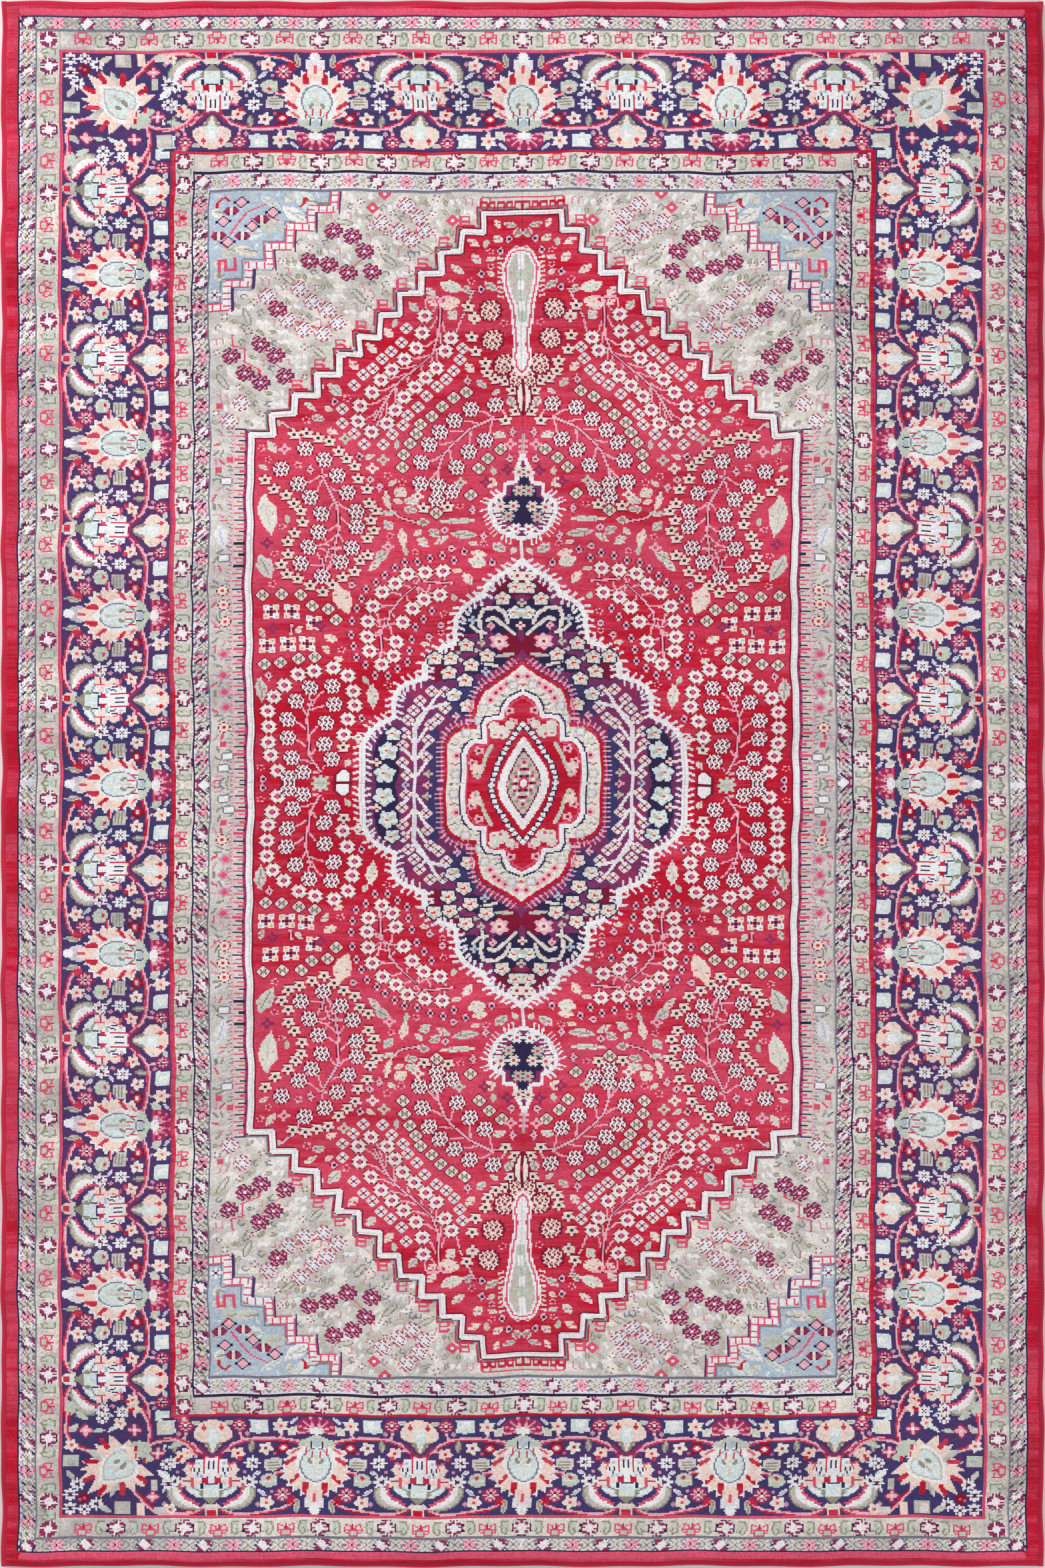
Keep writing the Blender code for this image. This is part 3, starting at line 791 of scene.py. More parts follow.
def draw_field_edge(c):
    """The stair round the field: a white line, red hooks outside each step,
    and a comb of pink strokes down the long sides."""
    c.line(moved(STAIR, 3.0, 3.0), 1.0, "grey")
    for (ax, ay), (bx, by) in zip(STAIR[:-1:2], STAIR[1::2]):
        if 10 < bx < 150:
            c.line([(ax + 6, ay + 4), (bx + 3.6, by + 4), (bx + 3.6, by - 8)], 1.0, "crimson")
            for y in (by + 7, by + 10.6):
                c.line([(bx - 4, y - 2), (bx - 4, y), (bx + 1, y)], 1.0, "rose")
            c.line([(bx + 1.5, by + 4), (bx + 1.5, by + 10.6)], 1.0, "rose")
    for step in range(5):
        x = 2.6 + step * 5.5
        c.line([(x - 1.8, 408), (x - 1.8, 412), (x + 1.8, 412), (x + 1.8, 408)], 1.2, "crimson")
    c.line([(0, 415.4), (24, 415.4)], 1.0, "rose")
    c.line(STAIR, 5.0, "wine")
    c.line(STAIR, 3.6, "white")
    c.line([(174, 0), (174, 250)], 1.4, "plum")
    for row in range(94):
        y = 1.2 + row * 2.68
        c.line([(174.5, y), (181 if row % 2 else 178, y)], 1.1, "rose" if row % 3 else "ink")
        c.line([(182, y), (184 + row % 3, y + 1)], 1.0, ("taupe", "mauve", "grey")[row % 5 % 3])
    c.line([(181.4, 0), (181.4, 252)], 0.9, "pink")
    for x, y in ((187, 92), (187, 77), (187, 65), (186, 54)):
        c.star(x, y, 4.4, 5, 0.3, "mauve")
        c.oval(x, y, 1.6, 1.6, "rose")
    for x, y in ((187, 137), (187, 127), (186, 115), (188, 40)):
        c.star(x, y, 4.6, 8, 0.2, "wine")
        c.oval(x, y, 3.0, 3.0, "blush")
        c.dots([(x, y)], "crimson")
    for x, y in ((185, 19), (188, 11), (187, 160), (186, 214)):
        c.oval(x, y, 4.4, 3.4, "grey")
        c.oval(x, y, 3.4, 2.4, "white")
    leaf(c, 189, 175, 9, 4.6, 1.3, "lilac", "sky")
    for x, y in ((184, 229), (191, 222), (190, 267), (188, 28)):
        c.oval(x, y, 2.4, 2.2, "rose")
    for y in (192, 202, 147, 103, 240):
        c.line([(184, y), (191, y + 2)], 1.0, "greige")


def draw_spandrel(c):
    """Pale ground between the two stairs, clouded in greys, with rosettes on
    thin stems."""
    for place, (x, y) in enumerate(open_spots(c, ["beige"], (28, 255, 196, 420), 13.0, 1.0)):
        bend = math.sin(5.1 * place)
        c.oval(x + 3 * bend, y, 7 + bend, 2.8, ("greige", "ivory")[place % 2], bend)
    stems = (
        [(181, 317), (182, 309), (174, 307), (175, 298), (165, 293), (165, 289)],
        [(60, 398), (69, 390), (80, 395), (90, 400)],
        [(92, 382), (99, 372), (109, 362), (122, 365), (134, 370)],
        [(113, 326), (124, 322), (136, 324), (148, 331), (158, 344)],
        [(150, 292), (158, 300), (165, 309)])
    for stem in stems:
        c.line(stem, 1.2, "rose")
    for x, y, turn in ((83, 372, 0.7), (102, 345, 0.9), (146, 356, 0.7), (112, 397, 0.2),
                       (172, 330, 1.2), (60, 380, 0.5), (128, 305, 0.8), (188, 284, 1.0)):
        c.oval(x, y, 6.6, 2.2, "taupe", turn)
        c.oval(x, y, 5.6, 1.3, "beige", turn)
    for x, y in ((65, 402), (61, 393), (69, 386), (77, 392), (88, 398), (73, 410),
                 (139, 350), (131, 341), (122, 335), (115, 326), (124, 318), (136, 321),
                 (146, 328), (159, 345), (176, 269), (184, 256)):
        spray_rosette(c, x, y, dark=False)
    for x, y in (
            (98, 377), (94, 363), (106, 387), (109, 361), (121, 367), (133, 370), (164, 311),
            (155, 303), (149, 288), (164, 284), (174, 290), (183, 302), (118, 391), (153, 336)):
        spray_rosette(c, x, y)
    for x, y in ((94, 408), (44, 399), (87, 418)):
        c.star(x, y, 4.2, 4, 0.3, "rose")
        c.dots([(x, y)], "white")


def draw_blue_corner(c):
    """The light blue corner: a boxed stair, bow ties, leaves and stems."""
    c.line(moved(CORNER_STAIR, 3.6, 3.6), 0.9, "grey")
    for x, y, reach_x, reach_y, yarn in (
            (135, 411, 15, 7, "aqua"), (142, 402, 10, 6, "white"), (156, 394, 9, 7, "sage"),
            (146, 414, 3, 6, "cream"), (158, 411, 9, 3, "aqua"), (168, 389, 6, 7, "aqua"),
            (183, 376, 6, 8, "sage"), (173, 376, 8, 5, "cream"), (188, 368, 6, 5, "blush"),
            (190, 359, 4, 4, "cream"), (191, 404, 4, 4, "ivory")):
        leaf(c, x, y, reach_x, reach_y * 0.8, 0.3 * (x % 4), yarn, "greige")
        c.line([(x - reach_x, y), (x, y + 1.5)], 1.2, "taupe" if x % 2 else "sky")
    c.line(CORNER_STAIR, 5.8, "rose")
    c.line(CORNER_STAIR, 4.4, "white")
    combed(c, CORNER_STAIR, 4.7, 2.0, "rose", 1.0)
    for (ax, ay), (bx, by) in zip(CORNER_STAIR[::2], CORNER_STAIR[1::2]):
        c.line([(ax - 3.4, ay - 3), (bx - 3.4, by - 3)], 1.3, "navy")
    stems = ([(160, 410), (172, 404), (178, 396), (183, 388)],
             [(152, 398), (160, 402), (170, 399)], [(184, 378), (190, 384), (194, 392)])
    for stem in stems:
        c.line(stem, 1.3, "rose")
    for x, y in ((163, 399), (175, 387), (190, 388), (182, 405)):
        c.lozenge(x, y, 5.6, 3.6, "ink")
        for flip in (-1, 1):
            bow = placed([(0.6, 0.6), (2.6, 3.2), (5, 0), (2.6, -3.2)], x, y, 0, flip)
            c.shape(bow, "plum")
        c.line([(x, y - 2.6), (x, y + 2.6)], 1.3, "blush")
    for x, y in ((169, 394), (184, 383), (187, 398), (176, 411), (156, 404)):
        c.lozenge(x, y, 5.2, 4.0, "ink")
        c.lozenge(x, y, 4.0, 3.0, "pink")
    c.line([(180, 371), (180, 363), (186, 363), (186, 370), (190, 370), (190, 363)], 1.5, "rose")
    c.line([(186, 360), (190, 358), (190, 362)], 1.2, "taupe")
    aster(c, 192, 346, 4.6)
    c.line([(183, 412), (187, 415), (191, 412), (191, 408)], 1.4, "crimson")
    c.line([(134, 413), (137, 415), (137, 410), (140, 408)], 1.3, "crimson")


def draw_field_florets(c):
    """Stems, florets, leaves and birds of the red field."""
    stems = (
        [(152, 256), (140, 246)], [(38, 330), (30, 350)], [(60, 345), (44, 345)],
        [(127, 8), (134, 20), (136, 45), (132, 60)],
        [(127, 218), (121, 207), (116, 197), (115, 180), (118, 167), (117, 161)],
        [(121, 167), (126, 152)], [(43, 143), (62, 145)],
        [(66, 141), (75, 132), (82, 122), (84, 112)], [(88, 110), (89, 90)],
        [(51, 345), (52, 318), (56, 305), (66, 295), (77, 286), (84, 277), (89, 267), (93, 258)],
        [(10, 258), (20, 259), (32, 253), (43, 243), (50, 234), (54, 222), (54, 208)],
        [(65, 185), (76, 188), (82, 193), (86, 208)], [(130, 140), (124, 150), (126, 160)],
        [(144, 112), (145, 104)])
    rings = (
        (79, 101), (97, 104), (81, 91), (96, 94), (88, 85), (109, 76), (118, 82), (130, 80),
        (140, 77), (149, 69), (156, 61), (160, 51), (160, 40), (160, 29), (158, 20), (154, 9),
        (106, 65), (105, 55), (110, 45), (113, 34), (50, 152), (61, 151), (72, 149), (79, 142),
        (87, 136), (93, 126), (96, 115), (51, 135), (61, 132), (68, 125), (74, 115), (62, 320),
        (66, 309), (74, 301), (82, 294), (89, 287), (95, 278), (102, 268), (103, 257), (95, 250),
        (44, 316), (48, 307), (54, 295), (61, 288), (61, 332), (68, 281), (75, 274), (80, 265),
        (85, 256))
    stars = (
        (119, 69), (133, 68), (118, 56), (142, 58), (124, 43), (148, 45), (125, 28), (148, 32),
        (120, 17), (145, 18), (138, 8), (147, 4), (110, 206), (104, 193), (104, 182), (107, 167),
        (114, 157), (125, 147), (126, 191), (128, 178), (134, 167), (139, 155), (133, 202),
        (141, 211), (117, 218), (125, 229), (137, 236), (152, 222), (45, 208), (54, 202), (65, 213),
        (18, 269), (33, 266), (43, 258), (52, 250), (59, 241), (64, 228), (24, 244), (34, 236),
        (42, 225), (54, 212))
    for stem in stems:
        twigs(c, stem, rings + stars, 17, "pink")
        c.line(stem, 2.4, "wine")
        c.line(stem, 1.4, "pink")
    for x, y in rings:
        ring_flower(c, x, y)
    for x, y in stars:
        hatch_flower(c, x, y)
    for x, y in (
            (148, 203), (143, 197), (139, 192), (138, 184), (143, 176), (147, 170), (147, 161),
            (151, 154), (147, 147), (140, 144), (132, 140), (124, 136), (118, 141), (112, 146),
            (105, 150), (102, 158), (97, 162), (97, 174), (93, 180), (95, 187), (92, 194),
            (96, 199), (98, 209), (104, 216), (156, 208), (162, 215), (106, 225), (111, 230),
            (116, 235), (122, 242), (129, 244), (136, 247), (144, 246), (31, 317), (29, 307),
            (23, 299), (22, 292), (17, 287), (11, 285), (7, 278), (5, 263), (11, 257), (113, 25),
            (47, 197), (62, 196), (30, 331), (34, 338)):
        small_ring(c, x, y)
    for x, y in (
            (72, 323), (75, 313), (82, 307), (88, 302), (94, 295), (100, 290), (106, 282),
            (113, 265), (113, 255), (106, 248), (37, 309), (39, 301), (43, 293), (48, 287),
            (54, 282), (61, 275), (66, 267), (72, 261), (75, 254), (82, 248), (88, 241),
            (100, 241)):
        cross_flower(c, x, y)
    for x, y in (
            (69, 103), (71, 95), (72, 87), (78, 82), (84, 77), (92, 77), (98, 84), (104, 89),
            (106, 97), (107, 105), (43, 159), (50, 163), (58, 161), (66, 158), (74, 157), (80, 153),
            (86, 148), (91, 143), (97, 138), (100, 131), (103, 124), (106, 115), (56, 124),
            (61, 118), (66, 112)):
        dotted_diamond(c, x, y)
    for x, y in (
            (130, 90), (140, 88), (151, 85), (161, 84), (33, 205), (54, 193), (36, 278), (44, 274),
            (51, 268), (57, 261), (64, 255), (67, 248), (71, 241), (75, 233), (76, 224), (14, 237),
            (22, 231), (28, 224), (131, 126), (121, 124), (138, 133), (150, 133), (162, 133),
            (116, 116)):
        cream_diamond(c, x, y)
    for x, y in ((135, 99), (147, 98), (160, 97), (130, 114), (144, 121), (157, 121)):
        four_cluster(c, x, y)
    for x, y in ((18, 315), (11, 297), (2, 287), (20, 336)):
        petal_wheel(c, x, y)
    leaves = (
        (94, 62, 9, 4, 1.5), (164, 66, 9, 4, 1.5), (112, 130, 11, 6.4, 1.2),
        (160, 190, 15, 6.4, 1.4), (161, 153, 10, 5.4, 1.1), (120, 103, 5, 3, 0.4),
        (123, 95, 4, 2.4, 0.9), (14, 167, 5.6, 3.4, 0.6), (27, 163, 5.4, 3, 0.2),
        (40, 187, 12, 2.4, 0.0), (36, 177, 9, 3.2, 0.1), (34, 145, 5.4, 3.4, 0.9),
        (50, 174, 5.4, 2.4, -0.6), (84, 183, 4.6, 3.4, 0.8), (75, 174, 7, 3, 1.4),
        (62, 172, 4.4, 3.6, 0.6), (62, 186, 4, 3, 0), (77, 206, 4.6, 4.2, 0.6),
        (92, 156, 7, 2.6, -0.9), (26, 284, 4.4, 3, 0.7), (33, 295, 4.4, 3, 0.9),
        (15, 247, 4.6, 3, 0.3), (8, 270, 4.2, 3, 1.2), (83, 320, 5, 3.2, 0.8),
        (94, 309, 5, 3.2, 0.8), (118, 278, 6.4, 4, 0.8), (106, 296, 4.4, 3, 0.8),
        (44, 352, 8, 4.4, 0.3), (34, 350, 3.6, 2.8, 1.0), (46, 339, 6, 3.4, 0.1),
        (57, 349, 4, 3, 0.7), (68, 338, 4.6, 3.2, 0.8), (56, 341, 3.2, 2.6, 0.6),
        (40, 364, 5.6, 2.6, 0.7), (19, 353, 5, 3, 0.6), (30, 383, 4.4, 2.6, 0.5),
        (28, 372, 4.4, 2.8, 0.9), (8, 396, 4.4, 2.4, 0.2), (16, 397, 3.6, 2.4, 1.0),
        (15, 386, 4.4, 2.6, 0.6), (3, 390, 3, 4, 0.0), (3, 377, 3, 4.4, 0.0), (133, 266, 5, 2, 0.6),
        (128, 258, 4.6, 3, 0.2), (120, 249, 4, 2.6, 0.4), (158, 238, 5.4, 3.2, 0.9),
        (163, 106, 3.6, 2.6, 1.2), (115, 88, 3.4, 2.4, 0.3), (28, 157, 6, 5, 0.2),
        (55, 179, 4.4, 3.4, 0.6), (21, 213, 4.6, 4.4, 0.3), (70, 200, 5, 3, 0.3),
        (70, 194, 4.4, 3, 0.1), (85, 201, 7, 2.4, 1.3), (84, 192, 6, 2.4, 0.0),
        (88, 162, 5, 4, -0.6), (43, 342, 5, 3, 0.2), (44, 332, 4, 4, 0.8))
    for place, (x, y, length, breadth, turn) in enumerate(leaves):
        yarn, core = (("cream", "sage"), ("beige", "taupe"), ("blush", "cream"))[place % 3]
        leaf(c, x, y, length, breadth, turn, yarn, core)
        spots = [(0, breadth * 0.5), (length * 0.4, -0.4 * breadth)]
        c.dots(placed(spots, x, y, turn), "rose", 0.6)
    for x, y, yarn in (
            (66, 204, "ivory"), (24, 214, "plum"), (40, 214, "sage"), (10, 222, "plum"),
            (30, 330, "cream"), (8, 240, "pink"), (95, 224, "ivory"), (88, 230, "sage"),
            (160, 170, "plum"), (126, 112, "plum"), (156, 109, "plum"), (84, 168, "pink"),
            (112, 244, "sage"), (150, 236, "pink"), (104, 32, "ivory")):
        c.star(x, y, 4.2, 4, 0.4, yarn)
        c.oval(x, y, 1.4, 1.4, "crimson")


def draw_axis_vases(c):
    """The palmettes on the field's long axis, and the medallion's finial."""
    vase = [(0, 378), (6, 376), (10, 366), (9.6, 356), (8, 347), (5.5, 338), (4.8, 328),
            (3.4, 318), (3, 310), (4.4, 302), (3, 294), (0, 290)]
    c.outline(vase, 4.2, "white", "greige")
    c.line(vase, 1.2, "rose")
    for y in (360, 345, 330):
        c.oval(0, y, 3.4, 4, "sage")
    for row in range(9):
        c.line([(11.6, 345 + row * 3.4), (14.6, 346 + row * 3.4)], 1.3, "cream")
    c.outline([(0, 284), (4, 280), (5, 272), (3, 264), (0, 260)], 1.4, "wine", "ivory")
    c.oval(0, 272, 1.2, 2.4, "crimson")
    finial = [(108, 0), (109, 8), (113, 10), (118, 6), (118, 0)]
    c.outline(finial, 1.2, "wine", "white")
    c.star(127, 0, 6.4, 8, 0.3, "sage")
    c.oval(127, 0, 2.6, 2.2, "greige")


def draw_medallion(c):
    """Violet ring with a feathered white stem round it, coral branches and
    blossoms; the red cartouche inside, and the white mandorla at the heart."""
    c.ink[c.ink == YARN_INDEX["violet"]] = YARN_INDEX["crimson"]
    c.shape(MEDALLION + [(0, 0)], "violet")
    for x, y, reach_x, reach_y, yarn, turn in (
            (56, 20, 4, 24, "navy", 0.0), (86, 16, 8, 22, "ink", 0.0), (36, 60, 8, 16, "navy", 0.5),
            (20, 88, 18, 7, "ink", -0.5), (50, 84, 7, 12, "wine", 0.6),
            (30, 116, 12, 9, "ink", -0.6), (10, 118, 10, 16, "ink", 0.0),
            (8, 138, 10, 7, "wine", -0.5), (8, 98, 8, 9, "wine", 0.0),
            (64, 66, 8, 6, "plum", 0.3), (72, 28, 5, 14, "plum", 0.0),
            (42, 100, 8, 5, "wine", -0.6)):
        c.oval(x, y, reach_x, reach_y, yarn, turn)
    combed(c, MEDALLION, 4.5, 5.2, "lilac", 1.8, -0.35)
    c.line(MEDALLION, 3.2, "white")
    trunk = [(68, 0), (68.4, 40), (65, 48), (58, 55), (46, 58)]
    for x, y in ((68, 5), (68, 17), (68, 29), (67, 41), (60, 53)):
        for far_x, far_y in ((x - 8, y + 13), (x + 6, y + 7)):
            c.line([(x, y), (far_x, far_y)], 1.9, "white")
    c.line(trunk, 2.6, "lilac")
    for x, y in ((64, 60), (68, 53), (72, 46), (75, 37), (76, 28), (76, 16), (73, 7),
                 (58, 43), (60, 32), (61, 20), (49, 66), (48, 54), (57, 67), (53, 47)):
        cross_flower(c, x, y)
    c.line([(6, 92), (14, 91), (24, 92), (34, 97), (42, 92)], 2.4, "greige")
    c.line([(16, 84), (26, 86), (34, 80), (40, 90)], 2.0, "cream")
    for x, y in ((36, 73), (46, 79), (32, 84), (22, 91), (35, 98), (45, 89), (4, 139),
                 (12, 131), (55, 90), (34, 55)):
        blossom(c, x, y, 5.2)
    for x, y, reach in ((85, 24, 6.6), (87, 8, 7.0), (82, 36, 5.2), (43, 63, 5.0), (4, 121, 5.0)):
        blossom(c, x, y, reach, "aqua")
        c.oval(x - 2, y - 1, 2.2, 1.4, "greige", 0.6)
        c.oval(x + 2, y + 2, 1.6, 1.2, "ivory")
    for curl in ([(8, 114), (10, 121), (16, 125), (24, 124), (26, 117), (25, 110), (25, 104)],
                 [(4, 106), (10, 112), (17, 118), (21, 116)], [(31, 112), (27, 108), (22, 107)]):
        c.line(curl, 3.6, "ink")
        c.line(curl, 2.6, "cream")
    star_flower(c, 14, 101, 6.4, 6, "pink", "plum")
    star_flower(c, 3, 147, 5, 6, "ivory", "plum")
    c.line(moved(INNER_RING, 2.6, 2.4), 1.2, "rose")
    combed(c, moved(INNER_RING, 3.2, 3.0), 3.4, 2.0, "pink", 1.1)
    c.shape(INNER_RING + [(0, 0)], "ivory")
    c.line(INNER_RING, 2.4, "crimson")
    for x, y in ((10, 71), (17, 65), (20, 60), (42, 20), (14, 68), (3, 76)):
        c.star(x, y, 3.6, 4, 0.4, "pink")
        c.dots([(x, y)], "crimson", 0.8)
    for x, y in ((24, 54), (43, 7), (36, 36), (27, 45), (6, 70)):
        c.star(x, y, 4.2, 6, 0.3, "greige")
        c.oval(x, y, 2.2, 2.2, "lilac")
    for x, y in open_spots(c, ["ivory"], (0, 0, 48, 85), 4.0, 1.8):
        yarn = ("rose", "greige", "grey")[int(x + y) % 3]
        c.line([(x - 1.4, y - 0.6), (x + 1.4, y + 0.8)], 1.0, yarn)
    c.shape(CARTOUCHE + [(0, 0)], "crimson")
    c.line(moved(CARTOUCHE, 1.6, 1.6), 1.2, "ink")
    c.line(moved(CARTOUCHE, -2.2, -2.2), 1.2, "rose")
    c.line(CARTOUCHE, 3.0, "white")
    for x, y in ((30, 8), (28, 24), (8, 52), (6, 44), (32, 15)):
        c.star(x, y, 3.4, 5, 0.3, "pink")
        c.dots([(x, y)], "wine")
    c.line([(20, 28), (24, 20), (26, 12), (29, 5)], 2.6, "sage")
    c.star(30, 11, 4.6, 5, 0.4, "blush")
    for x, y, reach in ((8, 42, 3), (13, 37, 4.6), (18, 41, 3.6), (18, 36, 3.4)):
        c.oval(x, y, reach, reach, "cream")
    c.dots([(14, 35), (18, 35.6)], "rose", 0.8)
    pearls = [(20, 0), (18.6, 9), (15, 18), (10.4, 27), (5, 36), (0, 42)]
    beaded(c, pearls, 3.4, 1.6, "white", "ink")
    c.shape(MANDORLA + [(0, 0)], "white")
    heart = [(x * 0.68, y * 0.76) for x, y in MANDORLA]
    c.shape(heart + [(0, 0)], "wine")
    c.shape([(x * 0.9, y * 0.92) for x, y in heart] + [(0, 0)], "greige")
    for row in range(10):
        for column in range(6):
            x, y = column * 2.4 + row % 2, row * 2.5
            if x / 11 + y / 27 < 0.94:
                yarn = ("white", "crimson", "taupe", "pink", "ink")[(row + column * 2) % 5]
                c.lozenge(x, y, 1.4, 1.5, yarn)
    c.lozenge(0, 0, 4.4, 6.4, "crimson")
    c.lozenge(0, 0, 2.6, 4, "white")


def draw_pendant(c):
    """The pendant between the medallion and the field's end."""
    c.shape(PENDANT, "violet")
    c.shape([(x * 0.7, 200 + (y - 200) * 0.7) for x, y in PENDANT], "ink")
    combed(c, PENDANT[1:8], 3.0, 5.4, "white", 1.2, -0.3)
    c.line(PENDANT, 2.8, "white")
    for x, y, yarn in ((3, 207, "greige"), (6, 196, "cream"), (9, 189, "greige"),
                       (4, 180, "white"), (14, 196, "cream"), (3, 220, "cream")):
        c.star(x, y, 4.4, 6, 0.34, yarn)
        c.oval(x, y, 1.4, 1.4, "crimson")
    c.line([(0, 159), (0, 172)], 2.2, "white")
    c.line([(0, 234), (0, 246)], 2.0, "greige")
    combed(c, [(0, 234), (0, 246)], 4, 3.4, "pink", 1.0)


def fill_ground(c):
    """Small florets and sprigs in whatever ground is still bare."""
    turn = 0
    for x, y in open_spots(c, ["crimson"], (2, 3, 168, 400), 3.1, 3.0):
        turn += 1
        if turn % 3 == 0:
            yarn = ("blush", "cream", "sage")[turn // 3 % 3]
            leaf(c, x, y, 3.4, 2.0, 0.7 * turn % 3.1, yarn, "greige")
        elif turn % 3 == 1:
            dotted_diamond(c, x, y)
        else:
            c.dots(circle_points(x, y, 1.9, 5, turn), "pink", 0.6)
            c.dots([(x, y)], "wine", 0.5)
    for x, y in open_spots(c, ["beige", "greige", "ivory", "sage"], (28, 255, 195, 418), 4.1, 2.0):
        turn += 1
        bend = 0.9 + 0.5 * math.sin(turn)
        kind = turn * 7 % 13 % 7
        if kind in (0, 3, 6):
            c.oval(x, y, 2.6, 1.2, ("white", "ivory", "taupe")[kind % 3], bend)
        elif kind == 1:
            hook = [(-1.6, -1.8), (1.4, -1.6), (1.4, 1.4), (-0.8, 1.6)]
            c.line(placed(hook, x, y, bend), 0.9, "grey")
        elif kind == 2:
            c.line([(x - 1, y - 2.4), (x - 0.4, y + 2), (x + 1.8, y + 2.2)], 1.0, "mauve")
        elif kind == 4:
            leaf(c, x, y, 3.2, 1.6, bend, "taupe", "greige")
        else:
            c.dots(circle_points(x, y, 1.9, 4, turn), "plum", 0.5)
            c.dots([(x, y)], "white", 0.7)
    for x, y in open_spots(c, ["beige"], (182, 2, 195, 256), 3.6, 1.6):
        turn += 1
        yarn = ("taupe", "grey", "rose", "mauve")[turn % 4]
        c.line(placed([(-2, 0), (2, 0.4)], x, y, 0.5 * turn), 1.4, yarn)
    for x, y in open_spots(c, ["sky"], (118, 340, 195, 419), 4.2, 2.4):
        turn += 1
        yarn = ("lilac", "aqua", "sage")[turn % 3]
        c.line(placed([(-1.8, 0), (1.8, 0.4)], x, y, 0.8 * turn), 1.2, yarn)
    for x, y in open_spots(c, ["violet", "plum", "navy", "ink"], (0, 0, 100, 156), 4.6, 2.9):
        turn += 1
        c.star(x, y, 2.9, 4, 0.4, ("pink", "sky", "greige", "blush")[turn % 4])
        c.dots([(x, y)], "wine", 0.5)


# -------------------------------------------------------------- whole chart
def chart_quarter(ground):
    """The chart of the far right quarter, painted over its ground yarns.
    The other three quarters mirror it."""
    rows, columns = ground.shape
    c = Cartoon(np.arange(columns) + 0.5, np.arange(rows) + 0.5, "crimson")
    c.ink[:] = ground
    draw_field_florets(c)
    draw_axis_vases(c)
    draw_spandrel(c)
    draw_field_edge(c)
    draw_blue_corner(c)
    draw_medallion(c)
    draw_pendant(c)
    fill_ground(c)
    top = Cartoon(np.arange(0, 65) + 0.5, np.arange(72) + 0.5, "navy")
    side = Cartoon((np.arange(60) + 0.5) * 65 / 60, (np.arange(70) + 0.5) * 72 / 70, "navy")
    for repeat in (top, side):
        draw_border_repeat(repeat)
    along_top = np.clip(np.abs((c.across + 65) % 130 - 65), 0, 64.9).astype(int)
    along_side = np.clip(np.abs((c.along + 60) % 120.3 - 60), 0, 59.9).astype(int)
    c.ink[448:520, :290] = top.ink[:, along_top[:290]]
    c.ink[:448, 220:290] = side.ink[:, along_side[:448]].T
    c.box(226, 448, 290, 520, "navy")
    draw_border_corner(c)
    draw_guards(c)
    return c.ink


def draw_guards(c):
    """All four guards, their coloured lines, and the plain edge band."""
    c.box(290, 0, 305, 535, "cream")
    c.box(0, 520, 305, 534, "cream")
    c.box(305, 0, 316, 544, "lilac")
    c.box(0, 534, 316, 544, "lilac")
    c.box(206, 0, 220, 448, "cream")
    c.box(0, 433, 220, 448, "cream")
    c.box(196, 0, 206, 433, "lilac")
    c.box(0, 420, 206, 433, "lilac")
    draw_guard(c, 527, [297 - 42.43 * k for k in range(1, 8)], 21.2, False)
    draw_guard(c, 297.5, [11 + 45.2 * k for k in range(12)], 22.6, True)
    rosette(c, 297.5, 527.5)
    draw_guard(c, 440, [211.5 - 42.3 * k for k in range(1, 6)], 21.1, False)
    draw_guard(c, 213, [16 + 45.3 * k for k in range(10)], 22.6, True)
    rosette(c, 213, 440.5)
    minor = (
        (539, 5, 9.24, (1, 0, 1, 2), False, 34), (310.5, 540, -9.0, (0, 1, 2, 1), True, 60),
        (426.5, 201, -9.136, (0, 1, 2, 1), False, 23), (201, 427, -8.896, (0, 1, 2, 1), True, 49))
    for centre, first, step, order, upright, count in minor:
        for k in range(count):
            at = first + k * step
            x, y = (centre, at) if upright else (at, centre)
            draw_minor_motif(c, order[k % 4], x, y)
            gx, gy = (x, y + step / 2) if upright else (x + step / 2, y)
            for sign in (-1, 1):
                mx, my = (gx + 3.0 * sign, gy) if upright else (gx, gy + 3.0 * sign)
                c.line([(mx - 1.2, my + 1.2), (mx + 1.2, my - 1.2)], 0.9, "grey")
    for low, high, top in ((306, 315.6, 533), (197, 205.6, 420)):
        for step in range(int(top / 2.4)):
            y = 2.4 * step + 1
            for place, share in enumerate((0.08, 0.5, 0.92) if step % 2 else (0.3, 0.72)):
                x = low + (high - low) * share
                if (step * 2 + place) % 5 < 2:
                    continue
                yarn = ("plum", "ink", "grey", "taupe", "ink")[(step * 3 + place) % 5]
                c.line([(x - 0.8, y + 0.9), (x + 0.9, y - 0.9)], 1.0, yarn)
    for low, high, top in ((292, 304, 519), (208, 218, 432)):
        for x, y in open_spots(c, ["cream"], (low, 1, high, top), 2.8, 1.0):
            if (x * 7 + y * 3) % 5 < 3:
                c.line([(x - 0.9, y - 0.9), (x + 0.9, y + 0.9)], 1.0, "greige")
    for x, top, width, yarn in (
            (316.5, 544, 1.2, "ink"), (305.5, 534, 1.2, "grey"), (206.5, 433, 1.2, "ink"),
            (196.5, 420, 1.2, "grey"), (290, 519, 2.8, "rose"), (219.5, 447, 2.8, "crimson")):
        c.line([(x, 0), (x, top), (0, top)], width, yarn)
    # Painted nap shade at the ends of the edge band: rose in its inner rows, darker crimson in its
    # outermost rows.
    c.box(0, 544, 316, 549, "rose")
    c.line([(316, 544), (324, 552)], 3, "crimson")
    c.box(0, 548.6, 324, 551, "crimson")

